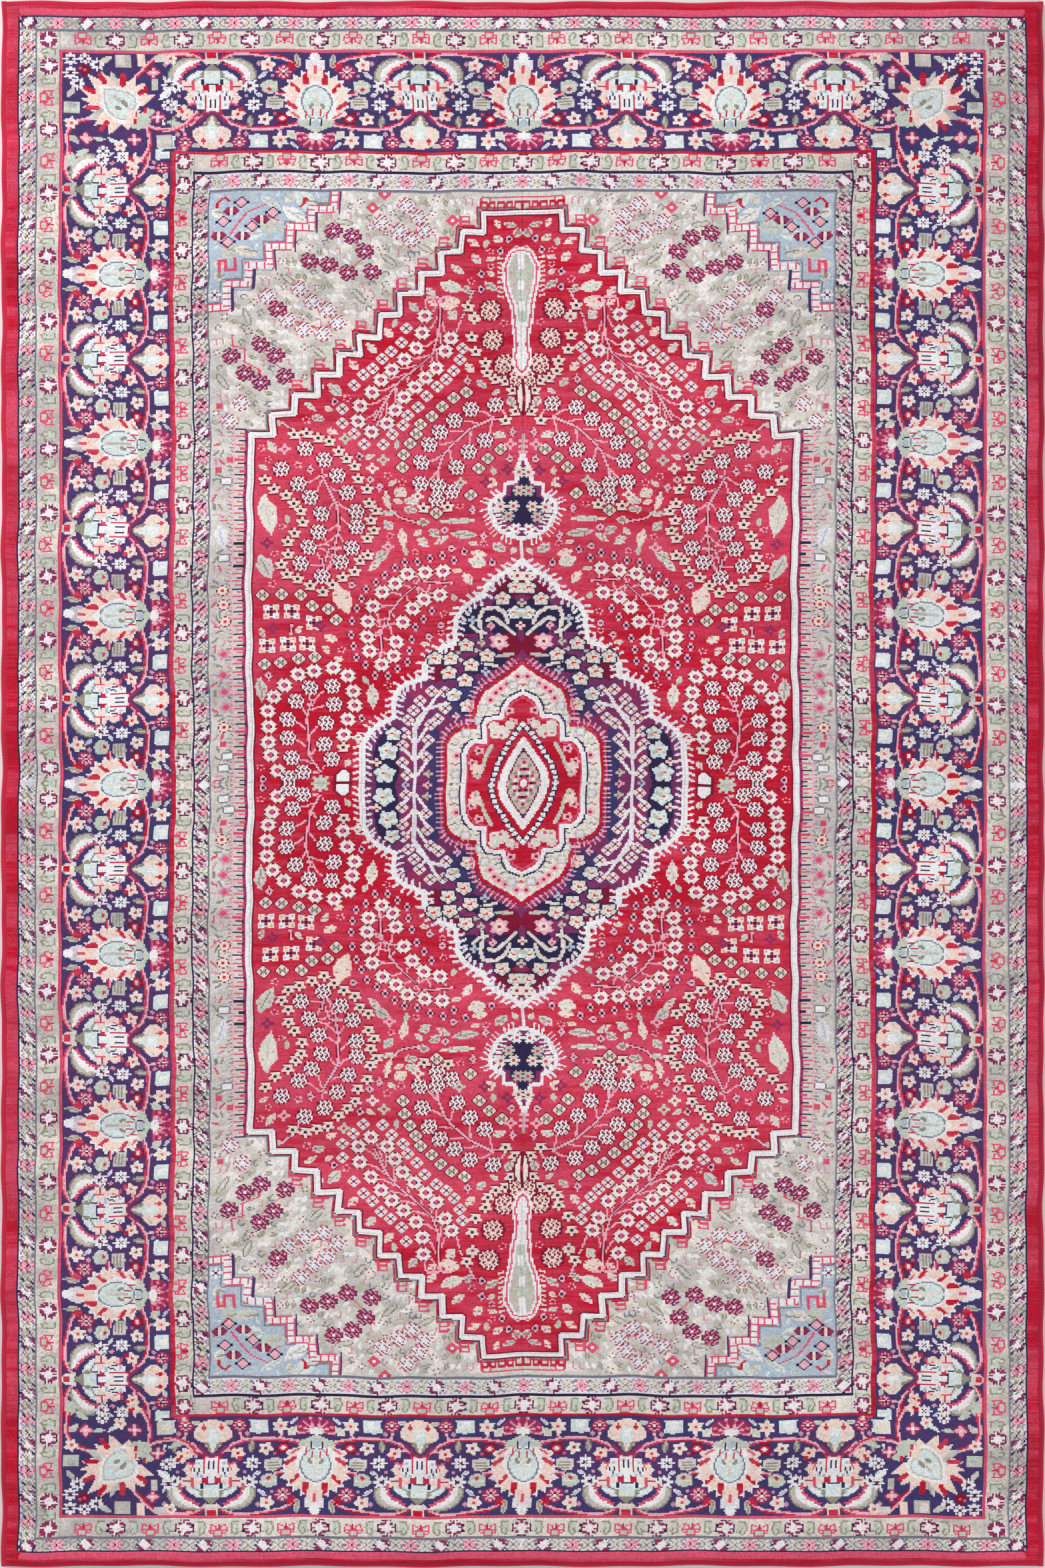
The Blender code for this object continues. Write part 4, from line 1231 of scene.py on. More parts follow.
# ------------------------------------------------------------------- pieces
def slow_noise(shape, cells, seed):
    """Smooth noise from -1 to 1: random values on a coarse grid, joined by
    the smoothstep curve along each way."""
    random = np.random.default_rng(seed)
    grid = random.uniform(-1, 1, (cells[0] + 2, cells[1] + 2))
    rows = np.linspace(0, cells[0], shape[0])
    columns = np.linspace(0, cells[1], shape[1])
    row, column = rows.astype(int), columns.astype(int)
    down = (rows - row)[:, None]
    across = (columns - column)[None, :]
    down, across = down**2 * (3 - 2 * down), across**2 * (3 - 2 * across)
    near = grid[np.ix_(row, column)] * (1 - across) + grid[np.ix_(row, column + 1)] * across
    far = grid[np.ix_(row + 1, column)] * (1 - across) + grid[np.ix_(row + 1, column + 1)] * across
    return near * (1 - down) + far * down


def knots_of_node(name):
    """Which knots a CAD node holds: those whose middles lie in a triangle of
    its top face, on the same side of all three edges."""
    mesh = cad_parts[name].data
    points = np.empty(len(mesh.vertices) * 3)
    mesh.vertices.foreach_get("co", points)
    points = points.reshape(-1, 3)
    corners = np.empty(len(mesh.loops), dtype=int)
    mesh.loops.foreach_get("vertex_index", corners)
    triangles = points[corners.reshape(-1, 3)]
    top = triangles[:, :, 2].min(axis=1) > PILE_TOP - 1e-4
    places = triangles[top][:, :, :2] / (COLUMN_PITCH, ROW_PITCH) + (HALF_COLUMNS, HALF_ROWS)
    rows, columns = 2 * HALF_ROWS, 2 * HALF_COLUMNS
    held = np.zeros((rows, columns), dtype=bool)
    for corner in places:
        low = np.maximum(np.floor(corner.min(axis=0)).astype(int), 0)
        high = np.ceil(corner.max(axis=0)).astype(int)
        x, y = np.meshgrid(np.arange(low[0], high[0]) + 0.5, np.arange(low[1], high[1]) + 0.5)
        sides = [(b[0] - a[0]) * (y - a[1]) - (b[1] - a[1]) * (x - a[0])
                 for a, b in zip(corner, np.roll(corner, -1, axis=0))]
        inside = np.all([s >= 0 for s in sides], axis=0) | np.all([s <= 0 for s in sides], axis=0)
        held[low[1]:high[1], low[0]:high[0]] |= inside[:rows - low[1], :columns - low[0]]
    return held


def family(node):
    """A pile node's name without its place words."""
    return next(name for name in SLOTS if node.startswith(name))


def laid(points, sizes):
    """Points as the rug lies. Slow waves move them sideways as weaving
    does, fading out at the outline, whose own waves only pull inward. Soft
    ripples lift them: a wave along the rug, strongest by its long sides, and
    slow swells."""
    x, y = points[..., 0], points[..., 1]
    share_x, share_y = np.abs(x) / HALF_WIDTH, np.abs(y) / HALF_LENGTH
    fade_x, fade_y = 1 - share_x**8, 1 - share_y**8
    wave_x = 0.5 * np.sin(17 * y + 1.3) + 0.3 * np.sin(61 * y + 9 * x) + 0.2 * np.sin(131 * y)
    wave_y = 0.5 * np.sin(19 * x + 0.4) + 0.3 * np.sin(53 * x - 11 * y) + 0.2 * np.sin(97 * x + 2)
    edge_x = 0.5 + 0.3 * np.sin(37 * y + 1) + 0.2 * np.sin(88 * y)
    edge_y = 0.5 + 0.3 * np.sin(29 * x + 2) + 0.2 * np.sin(71 * x)
    result = points.copy()
    result[..., 0] += sizes.drift * (wave_x * fade_x - np.sign(x) * edge_x * (1 - fade_x))
    result[..., 1] += sizes.drift * (wave_y * fade_y - np.sign(y) * edge_y * (1 - fade_y))
    ripple = np.sin(60 * y + 2.4 * np.sin(3 * x) + 0.8 * np.sin(7 * y)) * (0.25 + 0.75 * share_x**3)
    swell = np.sin(9 * x + 4 * y) * np.sin(7 * y - 3 * x + 1)
    result[..., 2] += sizes.ripple_height * (1.0 + 0.6 * ripple + 0.4 * swell)
    return result


def knot_grounds(masks):
    """The ground yarn of every knot, from the node that holds it."""
    ground = np.full((2 * HALF_ROWS, 2 * HALF_COLUMNS), YARN_INDEX["crimson"])
    for name, held in masks.items():
        ground[held] = YARN_INDEX[GROUND_YARNS[family(name)]]
    return ground


def knot_colours(masks, yarns, sizes):
    """The linear colour of every knot: its yarn, mixed towards its
    paler neighbour in bands, partly where the dye lot changes and partly as
    painted nap sheen, most of all a third of the way out along the rug; pale
    grounds greyed in patches as painted shade, most towards the long sides;
    then lightened or darkened at random, with painted nap sheen and shade mixed in."""
    ground = knot_grounds(masks)
    quarter = chart_quarter(ground[HALF_ROWS:, HALF_COLUMNS:])
    right = np.concatenate([quarter[::-1], quarter])
    ink = np.concatenate([right[:, ::-1], right], axis=1)
    table = np.array([tuple(getattr(yarns, name)) for name in YARN_NAMES])
    colours = table[ink]
    random = np.random.default_rng(7)
    # Painted nap sheen mixed with real dye-lot bands: slow bands along the rows, lighter about a
    # third of the way out along the rug and darker at its middle, pull the crimson, violet and navy
    # grounds towards paler yarns.
    bands = 0.55 * slow_noise(ink.shape, (46, 5), 1) + 0.45 * slow_noise(ink.shape, (260, 26), 2)
    bands += 0.35 * slow_noise(ink.shape, (1101, 60), 3)
    away = np.abs(np.arange(2 * HALF_ROWS) - HALF_ROWS + 0.5)[:, None]
    paler = 0.55 * np.exp(-(((away - 215) / 95) ** 2)) - 0.25 * np.exp(-((away / 90) ** 2))
    lift = sizes.dye_and_nap_sheen * np.clip(0.28 + 0.75 * bands + paler, 0, 1)
    # Painted shade: the cream, lilac and beige grounds are greyed in slow patches, most of all
    # towards the long sides.
    cloud = 0.5 + 0.6 * slow_noise(ink.shape, (70, 16), 31)
    cloud = cloud + 0.4 * slow_noise(ink.shape, (300, 90), 37)
    out = np.abs(np.arange(2 * HALF_COLUMNS) - HALF_COLUMNS + 0.5)[None, :] / HALF_COLUMNS
    painted_side_shade = np.clip(cloud, 0, 1) * (0.16 + 0.4 * np.clip((out - 0.5) * 4, 0, 1))
    for yarn, other, change in (
            ("crimson", "rose", lift), ("violet", "plum", lift), ("navy", "violet", lift / 2),
            ("cream", "grey", painted_side_shade), ("lilac", "grey", painted_side_shade), ("beige", "grey", painted_side_shade)):
        share = np.where(ink == YARN_INDEX[yarn], change, 0)[:, :, None]
        colours = colours * (1 - share) + table[YARN_INDEX[other]] * share
    # Painted nap sheen and shade: slow noise lightens or darkens the knots a little, on top of each
    # knot's own random grain.
    nap_sheen = slow_noise(ink.shape, (34, 9), 5) + 0.7 * slow_noise(ink.shape, (90, 40), 6)
    grain = random.normal(1, sizes.yarn_grain, ink.shape) * (1 + 0.09 * nap_sheen)
    return np.clip(colours * grain[:, :, None], 0.0, 0.93), ink


def put_mesh(name, points, faces):
    """A mesh object at the origin, from arrays of points and of square faces."""
    mesh = bpy.data.meshes.new(name)
    mesh.vertices.add(len(points))
    mesh.vertices.foreach_set("co", np.ascontiguousarray(points, dtype=np.float32).ravel())
    mesh.loops.add(faces.size)
    mesh.loops.foreach_set("vertex_index", faces.astype(np.int32).ravel())
    mesh.polygons.add(len(faces))
    mesh.polygons.foreach_set("loop_start", np.arange(0, faces.size, 4, dtype=np.int32))
    mesh.update(calc_edges=True)
    mesh.validate()
    piece = bpy.data.objects.new(name, mesh)
    bpy.context.scene.collection.objects.link(piece)
    return piece


def build_pile(node, held, colours, heights, sizes, material):
    """One pile piece. Its top has a square for each knot, at the cut height
    plus that corner's unevenness, and a skirt falls from its outline to the
    pile's foot."""
    number = np.full((held.shape[0] + 1, held.shape[1] + 1), -1)
    corner_used = np.zeros(number.shape, dtype=bool)
    for down in (0, 1):
        for across in (0, 1):
            corner_used[down:down + held.shape[0], across:across + held.shape[1]] |= held
    number[corner_used] = np.arange(corner_used.sum())
    row, column = np.nonzero(corner_used)
    points = np.stack([(column - HALF_COLUMNS) * COLUMN_PITCH,
                       (row - HALF_ROWS) * ROW_PITCH, heights[row, column]], axis=1)
    knot_row, knot_column = np.nonzero(held)
    top = np.stack([number[knot_row, knot_column], number[knot_row, knot_column + 1],
                    number[knot_row + 1, knot_column + 1],
                    number[knot_row + 1, knot_column]], axis=1)
    frame_held = np.pad(held, 1)
    walls, wall_knots = [], []
    for (step_row, step_column), (start, end) in (
            ((-1, 0), (0, 1)), ((0, 1), (1, 2)), ((1, 0), (2, 3)), ((0, -1), (3, 0))):
        bare = ~frame_held[1 + knot_row + step_row, 1 + knot_column + step_column]
        walls.append(top[bare][:, [end, start]])
        wall_knots.append(np.flatnonzero(bare))
    walls, wall_knots = np.concatenate(walls), np.concatenate(wall_knots)
    rim = np.unique(walls)
    foot = np.full(len(points), -1)
    foot[rim] = np.arange(len(rim)) + len(points)
    low = points[rim].copy()
    low[:, 2] = PILE_FOOT
    skirt = np.stack([walls[:, 0], walls[:, 1], foot[walls[:, 1]], foot[walls[:, 0]]], axis=1)
    points = np.concatenate([points, low])
    faces = np.concatenate([top, skirt])
    piece = put_mesh(node.replace("pile", "wool", 1), laid(points, sizes), faces)
    knots = np.concatenate([np.arange(len(top)), wall_knots])
    tint = np.ones((len(faces), 4), dtype=np.float32)
    tint[:, :3] = colours[knot_row[knots], knot_column[knots]]
    piece.data.attributes.new("yarn", "FLOAT_COLOR", "FACE").data.foreach_set("color", tint.ravel())
    spread = np.concatenate([np.stack([column, row], axis=1),
                             np.stack([column, row], axis=1)[rim] + (0, SKIRT_KNOTS)])
    layer = piece.data.uv_layers.new(name="knots")
    layer.data.foreach_set("uv", spread[faces.ravel()].astype(np.float32).ravel())
    piece.data.materials.append(material)
    finish_piece(piece, SLOTS[family(node)], node)
    return piece


def finish_piece(piece, slot, *nodes):
    """Ride on the rug, and stand for the CAD nodes."""
    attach(piece, "root")
    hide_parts(*nodes)


def pile_heights(ink, sizes):
    """Height of every corner of the knots: the cut, a groove where two yarns
    meet, and each tuft's own unevenness."""
    shape = (ink.shape[0] + 1, ink.shape[1] + 1)
    random = np.random.default_rng(11)
    change = np.zeros(shape)
    change[1:-1, 1:-1] = (ink[1:, 1:] != ink[:-1, :-1]) | (ink[1:, :-1] != ink[:-1, 1:])
    uneven = random.uniform(-1, 1, shape) + 0.6 * slow_noise(shape, (400, 240), 23)
    return PILE_TOP + sizes.tuft_unevenness * (0.7 * uneven - 1.1 * change)


def edge_frame(side):
    """For one side: the way outward, the way along, the outline's distance
    from the middle, and the two ends, all from the CAD's box."""
    low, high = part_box("overcasting_" + side)
    if side in ("right", "left"):
        out = np.array([1.0 if side == "right" else -1.0, 0, 0])
        return out, np.array([0, 1.0, 0]), max(abs(low[0]), abs(high[0])), low[1], high[1]
    out = np.array([0, 1.0 if side == "far" else -1.0, 0])
    return out, np.array([1.0, 0, 0]), max(abs(low[1]), abs(high[1])), low[0], high[0]


def swept_ring(name, rings):
    """A closed tube through rings of points, shaped (ring, place, 3): squares
    between two rings, a many-sided face at each end, all turned outward."""
    count, around = rings.shape[:2]
    ring, place = np.meshgrid(np.arange(count - 1), np.arange(around), indexing="ij")
    after = (place + 1) % around
    this, following = ring * around, (ring + 1) * around
    sides = np.stack([this + place, this + after, following + after, following + place],
                     axis=-1).reshape(-1, 4)
    last = (count - 1) * around
    ends = [list(range(around - 1, -1, -1)), list(range(last, last + around))]
    mesh = bpy.data.meshes.new(name)
    mesh.from_pydata(rings.reshape(-1, 3).tolist(), [], sides.tolist() + ends)
    mesh.validate()
    piece = bpy.data.objects.new(name, mesh)
    bpy.context.scene.collection.objects.link(piece)
    if signed_volume(mesh) < 0:
        mesh.flip_normals()
    return piece


def signed_volume(mesh):
    """Volume inside a closed mesh, below zero where it is inside out: each
    triangle's corners' triple product, over six."""
    mesh.calc_loop_triangles()
    points = np.empty(len(mesh.vertices) * 3)
    mesh.vertices.foreach_get("co", points)
    corners = np.empty(len(mesh.loop_triangles) * 3, dtype=int)
    mesh.loop_triangles.foreach_get("vertices", corners)
    a, b, c = np.moveaxis(points.reshape(-1, 3)[corners.reshape(-1, 3)], 1, 0)
    return float((a * np.cross(b, c)).sum() / 6)


def build_overcasting(side, sizes, material):
    """Yarn wound over the edge cord. The section is a hairpin: out under the
    edge, round the nose and back on top. Its surface sinks between two turns
    as one less the size of a cosine along the edge, and leans one pitch as it
    goes round."""
    out, way, reach, first, last = edge_frame(side)
    low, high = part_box("overcasting_" + side)
    nose = (high[2] - low[2]) / 2
    turn = np.linspace(-math.pi / 2, math.pi / 2, NOSE_STEPS)
    inner_end = reach - WRAP_REACH
    shoulder = reach - nose - NOSE_SHOULDER
    outer = np.concatenate([[[inner_end, 0]], [[shoulder, 0]],
                            np.stack([reach - nose + nose * np.cos(turn),
                                      nose + nose * np.sin(turn)], axis=1),
                            [[shoulder, 2 * nose]], [[inner_end, 2 * nose]]])
    centre = np.stack([np.minimum(outer[:, 0], reach - nose), np.full(len(outer), nose)], axis=1)
    inward = centre - outer
    inward /= np.maximum(np.linalg.norm(inward, axis=1), 1e-9)[:, None]
    inner = outer + inward * WRAP_THICKNESS
    section = np.concatenate([outer, inner[::-1]])
    sink = np.concatenate([inward, np.zeros(inner.shape)])
    lean = np.concatenate([np.linspace(0, 1, len(outer)), np.linspace(1, 0, len(outer))])
    turns = int((last - first) / sizes.wrap_pitch)
    along = np.linspace(first, last, turns * STEPS_PER_TURN + 1)
    phase = along[:, None] / sizes.wrap_pitch + lean[None, :]
    depth = sizes.wrap_depth * (1 - np.abs(np.cos(math.pi * phase)))
    flat = section[None] + sink[None] * depth[:, :, None]
    rings = flat[:, :, :1] * out + flat[:, :, 1:] * np.array([0, 0, 1.0])
    rings = rings + along[:, None, None] * way
    piece = swept_ring("overcast_" + side, laid(rings, sizes))
    piece.data.materials.append(material)
    finish_piece(piece, "overcast_yarn", "overcasting_" + side)
    return piece


def build_edge_cord(side, sizes, material):
    """A two-ply cord: its radius swells twice round the section, and the
    swelling turns once for each CORD_LAY along."""
    low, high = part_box("edge_cord_" + side)
    middle = (np.array(low) + np.array(high)) / 2
    radius = (high[2] - low[2]) / 2
    axis = int(side in ("right", "left"))
    first, last = low[axis], high[axis]
    along = np.linspace(first, last, int((last - first) / CORD_STEP))
    turn = np.linspace(0, 2 * math.pi, CORD_SIDES, endpoint=False)
    twist = along * 2 * math.pi / CORD_LAY
    plies = np.cos(2 * (turn[None, :] - twist[:, None]))
    swell = radius * (1 - PLY_DEPTH + PLY_DEPTH * plies)
    rings = np.empty((len(along), len(turn), 3))
    rings[:, :, axis] = along[:, None]
    rings[:, :, 1 - axis] = middle[1 - axis] + swell * np.cos(turn)
    rings[:, :, 2] = middle[2] + swell * np.sin(turn)
    piece = swept_ring("cord_" + side, laid(rings, sizes))
    piece.data.materials.append(material)
    finish_piece(piece, "edge_cord_yarn", "edge_cord_" + side)
    return piece


def build_slab(name, node, steps, relief, sizes, material, slot):
    """A closed slab in a CAD node's box. Its two faces sink by up to relief,
    as a product of sines across and along."""
    low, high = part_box(node)
    across = np.linspace(low[0], high[0], steps[0] + 1)
    along = np.linspace(low[1], high[1], steps[1] + 1)
    x, y = np.meshgrid(across, along)
    dip = relief * (0.5 + 0.5 * np.sin(91 * x) * np.sin(77 * y))
    rim = (abs(x) > high[0] - 1e-6) | (abs(y) > high[1] - 1e-6)
    dip[rim] = 0
    top = np.stack([x, y, high[2] - dip], axis=-1).reshape(-1, 3)
    under = np.stack([x, y, low[2] + dip], axis=-1).reshape(-1, 3)
    count = x.size
    index = np.arange(count).reshape(x.shape)
    quads = np.stack([index[:-1, :-1], index[:-1, 1:], index[1:, 1:], index[1:, :-1]],
                     axis=-1).reshape(-1, 4)
    loop = np.concatenate([index[0, :-1], index[:-1, -1], index[-1, :0:-1], index[:0:-1, 0]])
    after = np.roll(loop, -1)
    walls = np.stack([loop + count, after + count, after, loop], axis=1)
    faces = np.concatenate([quads, quads[:, ::-1] + count, walls])
    piece = put_mesh(name, laid(np.concatenate([top, under]), sizes), faces)
    piece.data.materials.append(material)
    finish_piece(piece, slot, node)
    return piece

# ---------------------------------------------------------------- materials
def new_group(name, inputs, outputs):
    """An empty shader node group with the named sockets."""
    tree = bpy.data.node_groups.new(name, "ShaderNodeTree")
    for label, kind, value in inputs:
        socket = tree.interface.new_socket(label, in_out="INPUT", socket_type=kind)
        if value is not None:
            socket.default_value = value
    for label, kind in outputs:
        tree.interface.new_socket(label, in_out="OUTPUT", socket_type=kind)
    return tree, tree.nodes.new("NodeGroupInput"), tree.nodes.new("NodeGroupOutput")


def add_node(tree, kind, settings=(), **inputs):
    """A node with its settings, and its inputs linked or set by name."""
    node = tree.nodes.new(kind)
    for label, value in dict(settings).items():
        setattr(node, label, value)
    for label, value in inputs.items():
        socket = node.inputs[int(label[1:])] if label[1:].isdigit() else node.inputs[label]
        if isinstance(value, bpy.types.NodeSocket):
            tree.links.new(value, socket)
        else:
            socket.default_value = value
    return node


def sum_of(tree, operation, *values):
    """One arithmetic node on the values, which are numbers or sockets."""
    inputs = {f"i{place}": value for place, value in enumerate(values)}
    return add_node(tree, "ShaderNodeMath", {"operation": operation}, **inputs).outputs[0]


def fibre_group():
    """Fine wool fibre: noise at the given size, as a tone that lightens or
    darkens a colour, and as a height."""
    tree, source, result = new_group(
        "Wool fibre",
        [("Vector", "NodeSocketVector", None), ("Colour", "NodeSocketColor", None),
         ("Size", "NodeSocketFloat", 0.0006), ("Contrast", "NodeSocketFloat", 0.2)],
        [("Colour", "NodeSocketColor"), ("Height", "NodeSocketFloat")])
    scale = sum_of(tree, "DIVIDE", 1.0, source.outputs["Size"])
    noise = add_node(tree, "ShaderNodeTexNoise", Vector=source.outputs["Vector"],
                     Scale=scale, Detail=3.0, Roughness=0.6)
    swing = sum_of(tree, "SUBTRACT", noise.outputs[0], 0.5)
    swing = sum_of(tree, "MULTIPLY", swing, source.outputs["Contrast"])
    tone = sum_of(tree, "ADD", swing, 1.0)
    tint = add_node(tree, "ShaderNodeVectorMath", {"operation": "SCALE"},
                    i0=source.outputs["Colour"], Scale=tone)
    tree.links.new(tint.outputs[0], result.inputs["Colour"])
    tree.links.new(noise.outputs[0], result.inputs["Height"])
    return tree


def tuft_group():
    """Cut tufts: within each knot of the UV map the height falls from the
    middle as the square of the distance, and the shade falls with it."""
    tree, source, result = new_group(
        "Cut tufts",
        [("Vector", "NodeSocketVector", None), ("Depth", "NodeSocketFloat", 0.3)],
        [("Shade", "NodeSocketFloat"), ("Height", "NodeSocketFloat")])
    cell = add_node(tree, "ShaderNodeVectorMath", {"operation": "FRACTION"},
                    i0=source.outputs["Vector"])
    middle = add_node(tree, "ShaderNodeVectorMath", {"operation": "DISTANCE"},
                      i0=cell.outputs[0], i1=(0.5, 0.5, 0.0))
    square = sum_of(tree, "MULTIPLY", middle.outputs["Value"], middle.outputs["Value"])
    fall = sum_of(tree, "MULTIPLY", square, source.outputs["Depth"])
    shade = sum_of(tree, "SUBTRACT", 1.0, fall)
    height = sum_of(tree, "SUBTRACT", 1.0, square)
    tree.links.new(shade, result.inputs["Shade"])
    tree.links.new(height, result.inputs["Height"])
    return tree


def weave_group():
    """Plain weave: two sets of ribs at right angles that take turns on top,
    from the product of two sines, at the given pitch."""
    tree, source, result = new_group(
        "Plain weave",
        [("Vector", "NodeSocketVector", None), ("Pitch", "NodeSocketFloat", 0.0018)],
        [("Height", "NodeSocketFloat"), ("Mask", "NodeSocketFloat")])
    turns = sum_of(tree, "DIVIDE", math.pi, source.outputs["Pitch"])
    places = add_node(tree, "ShaderNodeVectorMath", {"operation": "SCALE"},
                      i0=source.outputs["Vector"], Scale=turns)
    parts = add_node(tree, "ShaderNodeSeparateXYZ", Vector=places.outputs[0])
    waves = [sum_of(tree, "SINE", parts.outputs[axis]) for axis in ("X", "Y")]
    over = sum_of(tree, "MULTIPLY", *waves)
    tall = sum_of(tree, "ABSOLUTE", over)
    mask = sum_of(tree, "GREATER_THAN", over, 0.0)
    tree.links.new(tall, result.inputs["Height"])
    tree.links.new(mask, result.inputs["Mask"])
    return tree


def new_material(name, roughness, sheen=0.0):
    """A material with its Principled shader, and the tree to add to."""
    material = bpy.data.materials.new(name)
    material.use_nodes = True
    tree = material.node_tree
    shader = tree.nodes["Principled BSDF"]
    shader.inputs["Roughness"].default_value = roughness
    shader.inputs["Sheen Weight"].default_value = sheen
    shader.inputs["Sheen Roughness"].default_value = 0.5
    shader.inputs["Specular IOR Level"].default_value = 0.15
    return material, tree, shader


def place_group(tree, group, **inputs):
    """A group node in a material, with its inputs linked or set."""
    return add_node(tree, "ShaderNodeGroup", {"node_tree": group}, **inputs)


def shared_group(name, make):
    """The node group of that name, made the first time it is asked for."""
    return bpy.data.node_groups.get(name) or make()


def wool_pile_material():
    """Cut wool pile: each knot's own yarn, shaded as a tuft, with fibre."""
    if "Wool pile" in bpy.data.materials:
        return bpy.data.materials["Wool pile"]
    material, tree, shader = new_material("Wool pile", 0.95, 0.12)
    yarn = add_node(tree, "ShaderNodeAttribute", {"attribute_name": "yarn"})
    knots = add_node(tree, "ShaderNodeUVMap", {"uv_map": "knots"})
    place = add_node(tree, "ShaderNodeTexCoord")
    tuft = place_group(tree, shared_group("Cut tufts", tuft_group),
                       Vector=knots.outputs["UV"], Depth=0.5)
    fibre = place_group(tree, shared_group("Wool fibre", fibre_group),
                        Vector=place.outputs["Object"], Colour=yarn.outputs["Color"],
                        Size=0.0005, Contrast=0.35)
    tint = add_node(tree, "ShaderNodeVectorMath", {"operation": "SCALE"},
                    i0=fibre.outputs["Colour"], Scale=tuft.outputs["Shade"])
    tree.links.new(tint.outputs[0], shader.inputs["Base Color"])
    height = sum_of(tree, "MULTIPLY_ADD", fibre.outputs["Height"], 0.4, tuft.outputs["Height"])
    bump = add_node(tree, "ShaderNodeBump", Strength=0.35, Distance=0.0006, Height=height)
    tree.links.new(bump.outputs[0], shader.inputs["Normal"])
    return material


def yarn_material(name, colour, pitch, contrast):
    """Spun yarn: one colour, with fibre as tone and as bump, lightened and darkened by slow noise.
    """
    if name in bpy.data.materials:
        return bpy.data.materials[name]
    material, tree, shader = new_material(name, 0.9, 0.1)
    place = add_node(tree, "ShaderNodeTexCoord")
    fibre = place_group(tree, shared_group("Wool fibre", fibre_group),
                        Vector=place.outputs["Object"], Colour=(*colour, 1.0),
                        Size=pitch * 0.4, Contrast=contrast)
    wear = add_node(tree, "ShaderNodeTexNoise", Vector=place.outputs["Object"], Scale=14.0)
    tone = sum_of(tree, "MULTIPLY_ADD", wear.outputs[0], 0.35, 0.8)
    tint = add_node(tree, "ShaderNodeVectorMath", {"operation": "SCALE"},
                    i0=fibre.outputs["Colour"], Scale=tone)
    tree.links.new(tint.outputs[0], shader.inputs["Base Color"])
    bump = add_node(tree, "ShaderNodeBump", Strength=0.5, Distance=pitch * 0.3,
                    Height=fibre.outputs["Height"])
    tree.links.new(bump.outputs[0], shader.inputs["Normal"])
    return material


def woven_material(name, colour, other, pitch, roughness):
    """Plain weave in two close colours, mottled by slow noise."""
    if name in bpy.data.materials:
        return bpy.data.materials[name]
    material, tree, shader = new_material(name, roughness)
    place = add_node(tree, "ShaderNodeTexCoord")
    weave = place_group(tree, shared_group("Plain weave", weave_group),
                        Vector=place.outputs["Object"], Pitch=pitch)
    mottle = add_node(tree, "ShaderNodeTexNoise", Vector=place.outputs["Object"],
                      Scale=9.0, Detail=4.0)
    share = sum_of(tree, "MULTIPLY_ADD", weave.outputs["Mask"], 0.35, mottle.outputs[0])
    mix = add_node(tree, "ShaderNodeMix", {"data_type": "RGBA"})
    tree.links.new(share, mix.inputs["Factor"])
    mix.inputs[6].default_value = (*colour, 1.0)
    mix.inputs[7].default_value = (*other, 1.0)
    fibre = place_group(tree, shared_group("Wool fibre", fibre_group),
                        Vector=place.outputs["Object"], Colour=mix.outputs[2],
                        Size=0.0008, Contrast=0.2)
    tree.links.new(fibre.outputs["Colour"], shader.inputs["Base Color"])
    bump = add_node(tree, "ShaderNodeBump", Strength=0.6, Distance=pitch * 0.25,
                    Height=weave.outputs["Height"])
    tree.links.new(bump.outputs[0], shader.inputs["Normal"])
    return material

# ---------------------------------------------------------------- operators
def knot_pieces(families, scene):
    """Make the pile pieces of the named families."""
    sizes, yarns = scene.rug_sizes, scene.rug_yarns
    masks = {node: knots_of_node(node) for node in PILE_NODES}
    colours, ink = knot_colours(masks, yarns, sizes)
    heights = pile_heights(ink, sizes)
    made = [build_pile(node, masks[node], colours, heights, sizes, wool_pile_material())
            for node in PILE_NODES if family(node) in families]
    if not made:
        raise RuntimeError("no pile pieces were made")
    return made


class RUG_OT_borders(bpy.types.Operator):
    """Knot the edge band, the guards and the main border"""

    bl_idname = "rug.borders"
    bl_label = "Knot Borders"

    def execute(self, context):
        knot_pieces(("pile_edge_band", "pile_outer_minor_guard", "pile_outer_guard",
                     "pile_main_border", "pile_inner_guard", "pile_inner_minor_guard"),
                    context.scene)
        return {"FINISHED"}


class RUG_OT_field(bpy.types.Operator):
    """Knot the red field, the spandrels and the blue corners"""

    bl_idname = "rug.field"
    bl_label = "Knot Field"

    def execute(self, context):
        knot_pieces(("pile_field_ground", "pile_spandrel", "pile_corner"), context.scene)
        return {"FINISHED"}


class RUG_OT_medallion(bpy.types.Operator):
    """Knot the medallion, its cartouche and mandorla, and the pendants"""

    bl_idname = "rug.medallion"
    bl_label = "Knot Medallion"

    def execute(self, context):
        knot_pieces(("pile_medallion_ring", "pile_cartouche", "pile_pendant",
                     "pile_mandorla"), context.scene)
        return {"FINISHED"}


class RUG_OT_edges(bpy.types.Operator):
    """Wind the overcasting round the four edge cords"""

    bl_idname = "rug.edges"
    bl_label = "Bind Edges"

    def execute(self, context):
        wool = yarn_material("Overcast wool", linear(196, 44, 72), 0.0018, 0.4)
        cotton = yarn_material("Cotton cord", linear(214, 200, 176), 0.0024, 0.3)
        for side in SIDES:
            build_overcasting(side, context.scene.rug_sizes, wool)
            build_edge_cord(side, context.scene.rug_sizes, cotton)
        return {"FINISHED"}


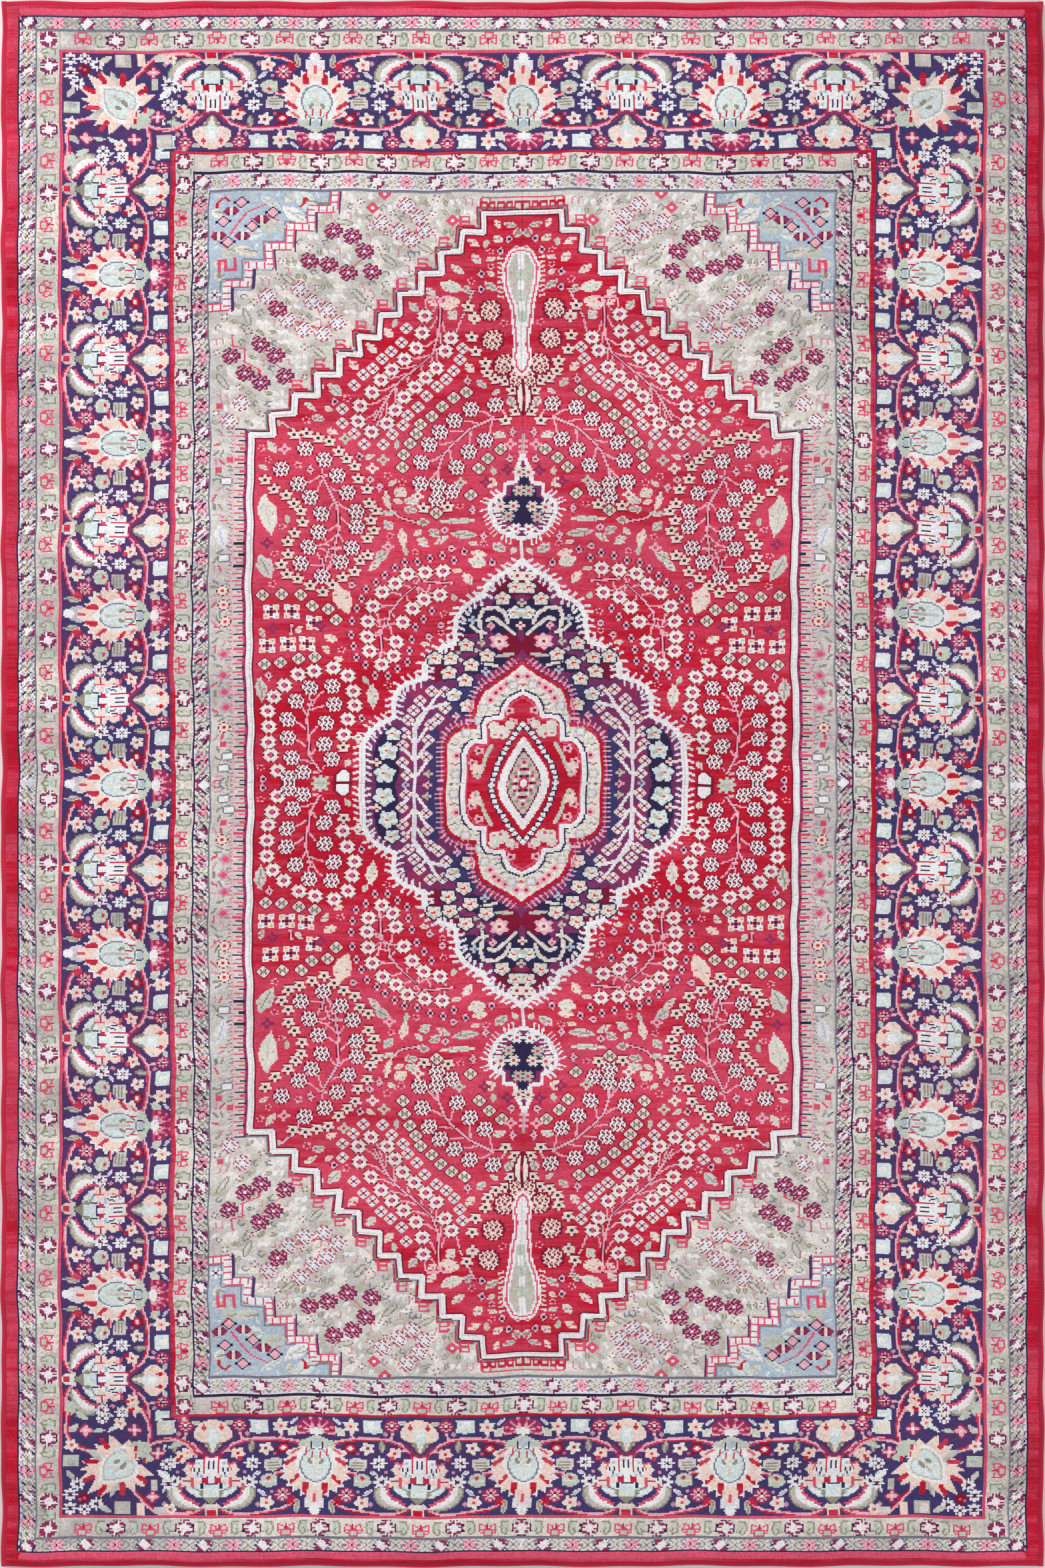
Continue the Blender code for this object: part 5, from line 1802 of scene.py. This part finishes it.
class RUG_OT_ground_cloth(bpy.types.Operator):
    bl_idname = "rug.ground_cloth"
    bl_label = "Weave Ground Cloth"

    def execute(self, context):
        cotton = woven_material("Foundation weave", linear(222, 208, 184),
                                linear(198, 182, 156), 0.0018, 0.9)
        latex = woven_material("Latex back", linear(206, 192, 168),
                               linear(178, 160, 136), 0.0036, 0.7)
        sizes = context.scene.rug_sizes
        cloth = build_slab("foundation_cloth", "woven_foundation", (60, 120), 0.00005,
                           sizes, cotton, "foundation_weave")
        backing = build_slab("latex_coat", "size_coat", (60, 120), 0.00012,
                             sizes, latex, "latex_back")
        return {"FINISHED"}


class RUG_OT_stage(bpy.types.Operator):
    """Set out the pale floor, the soft lights and the camera overhead"""

    bl_idname = "rug.stage"
    bl_label = "Set Stage"

    def execute(self, context):
        build_stage(context.scene)
        return {"FINISHED"}


def aimed_light(name, place, size, power):
    """A square soft light that faces the rug's middle."""
    data = bpy.data.lights.new(name, "AREA")
    data.size = size
    data.energy = power
    light = bpy.data.objects.new(name, data)
    light.location = place
    away = -light.location
    light.rotation_euler = away.to_track_quat("-Z", "Y").to_euler()
    bpy.context.scene.collection.objects.link(light)


def build_stage(scene):
    """A flat floor, a pale sky all round, two side lights and a camera that
    looks straight down and takes in the rug from end to end."""
    reach = 30.0
    corners = reach * np.array([[-1, -1, 0], [1, -1, 0], [1, 1, 0], [-1, 1, 0]])
    floor = put_mesh("floor", corners - (0, 0, FLOOR_DROP), np.array([[0, 1, 2, 3]]))
    paint, _, shader = new_material("Pale floor", 0.85)
    shader.inputs["Base Color"].default_value = (*linear(236, 234, 230), 1.0)
    floor.data.materials.append(paint)
    world = scene.world or bpy.data.worlds.new("Studio")
    scene.world = world
    world.use_nodes = True
    sky = world.node_tree.nodes["Background"]
    sky.inputs["Color"].default_value = (1.0, 1.0, 1.0, 1.0)
    sky.inputs["Strength"].default_value = 0.52
    aimed_light("key_light", (-2.6, 2.4, 2.4), 2.2, 128)
    aimed_light("fill_light", (2.8, -2.0, 2.8), 3.0, 50)
    scene.view_settings.view_transform = "Standard"
    lens = bpy.data.cameras.new("overhead")
    lens.lens = 85.0
    lens.sensor_fit = "VERTICAL"
    lens.sensor_height = 36.0
    distance = HALF_LENGTH * 2 * lens.lens / lens.sensor_height
    lens.clip_end = 100.0
    camera = bpy.data.objects.new("overhead", lens)
    camera.location = (0, 0, PILE_TOP + distance)
    scene.collection.objects.link(camera)
    scene.camera = camera


class RUG_PT_finish(bpy.types.Panel):
    """Lists the rug's steps, sizes and yarns"""

    bl_label = "Rug"
    bl_space_type = "VIEW_3D"
    bl_region_type = "UI"
    bl_category = "Rug"

    def draw(self, context):
        layout = self.layout
        for step in STEPS:
            layout.operator(step.bl_idname)
        for group in (context.scene.rug_sizes, context.scene.rug_yarns):
            for name in group.__annotations__:
                layout.prop(group, name)


STEPS = (
    RUG_OT_borders, RUG_OT_field, RUG_OT_medallion, RUG_OT_edges, RUG_OT_ground_cloth, RUG_OT_stage)
CLASSES = (RugYarns, RugSizes, *STEPS, RUG_PT_finish)


def register():
    """Add the classes and the scene's two groups of settings."""
    for entry in CLASSES:
        bpy.utils.register_class(entry)
    bpy.types.Scene.rug_yarns = bpy.props.PointerProperty(type=RugYarns)
    bpy.types.Scene.rug_sizes = bpy.props.PointerProperty(type=RugSizes)


def unregister():
    """Take away what register added."""
    del bpy.types.Scene.rug_sizes
    del bpy.types.Scene.rug_yarns
    for entry in reversed(CLASSES):
        bpy.utils.unregister_class(entry)


def main():
    """Build everything in order."""
    register()
    bpy.ops.rug.borders()
    bpy.ops.rug.field()
    bpy.ops.rug.medallion()
    bpy.ops.rug.edges()
    bpy.ops.rug.ground_cloth()
    bpy.ops.rug.stage()


if __name__ == "__main__":
    main()
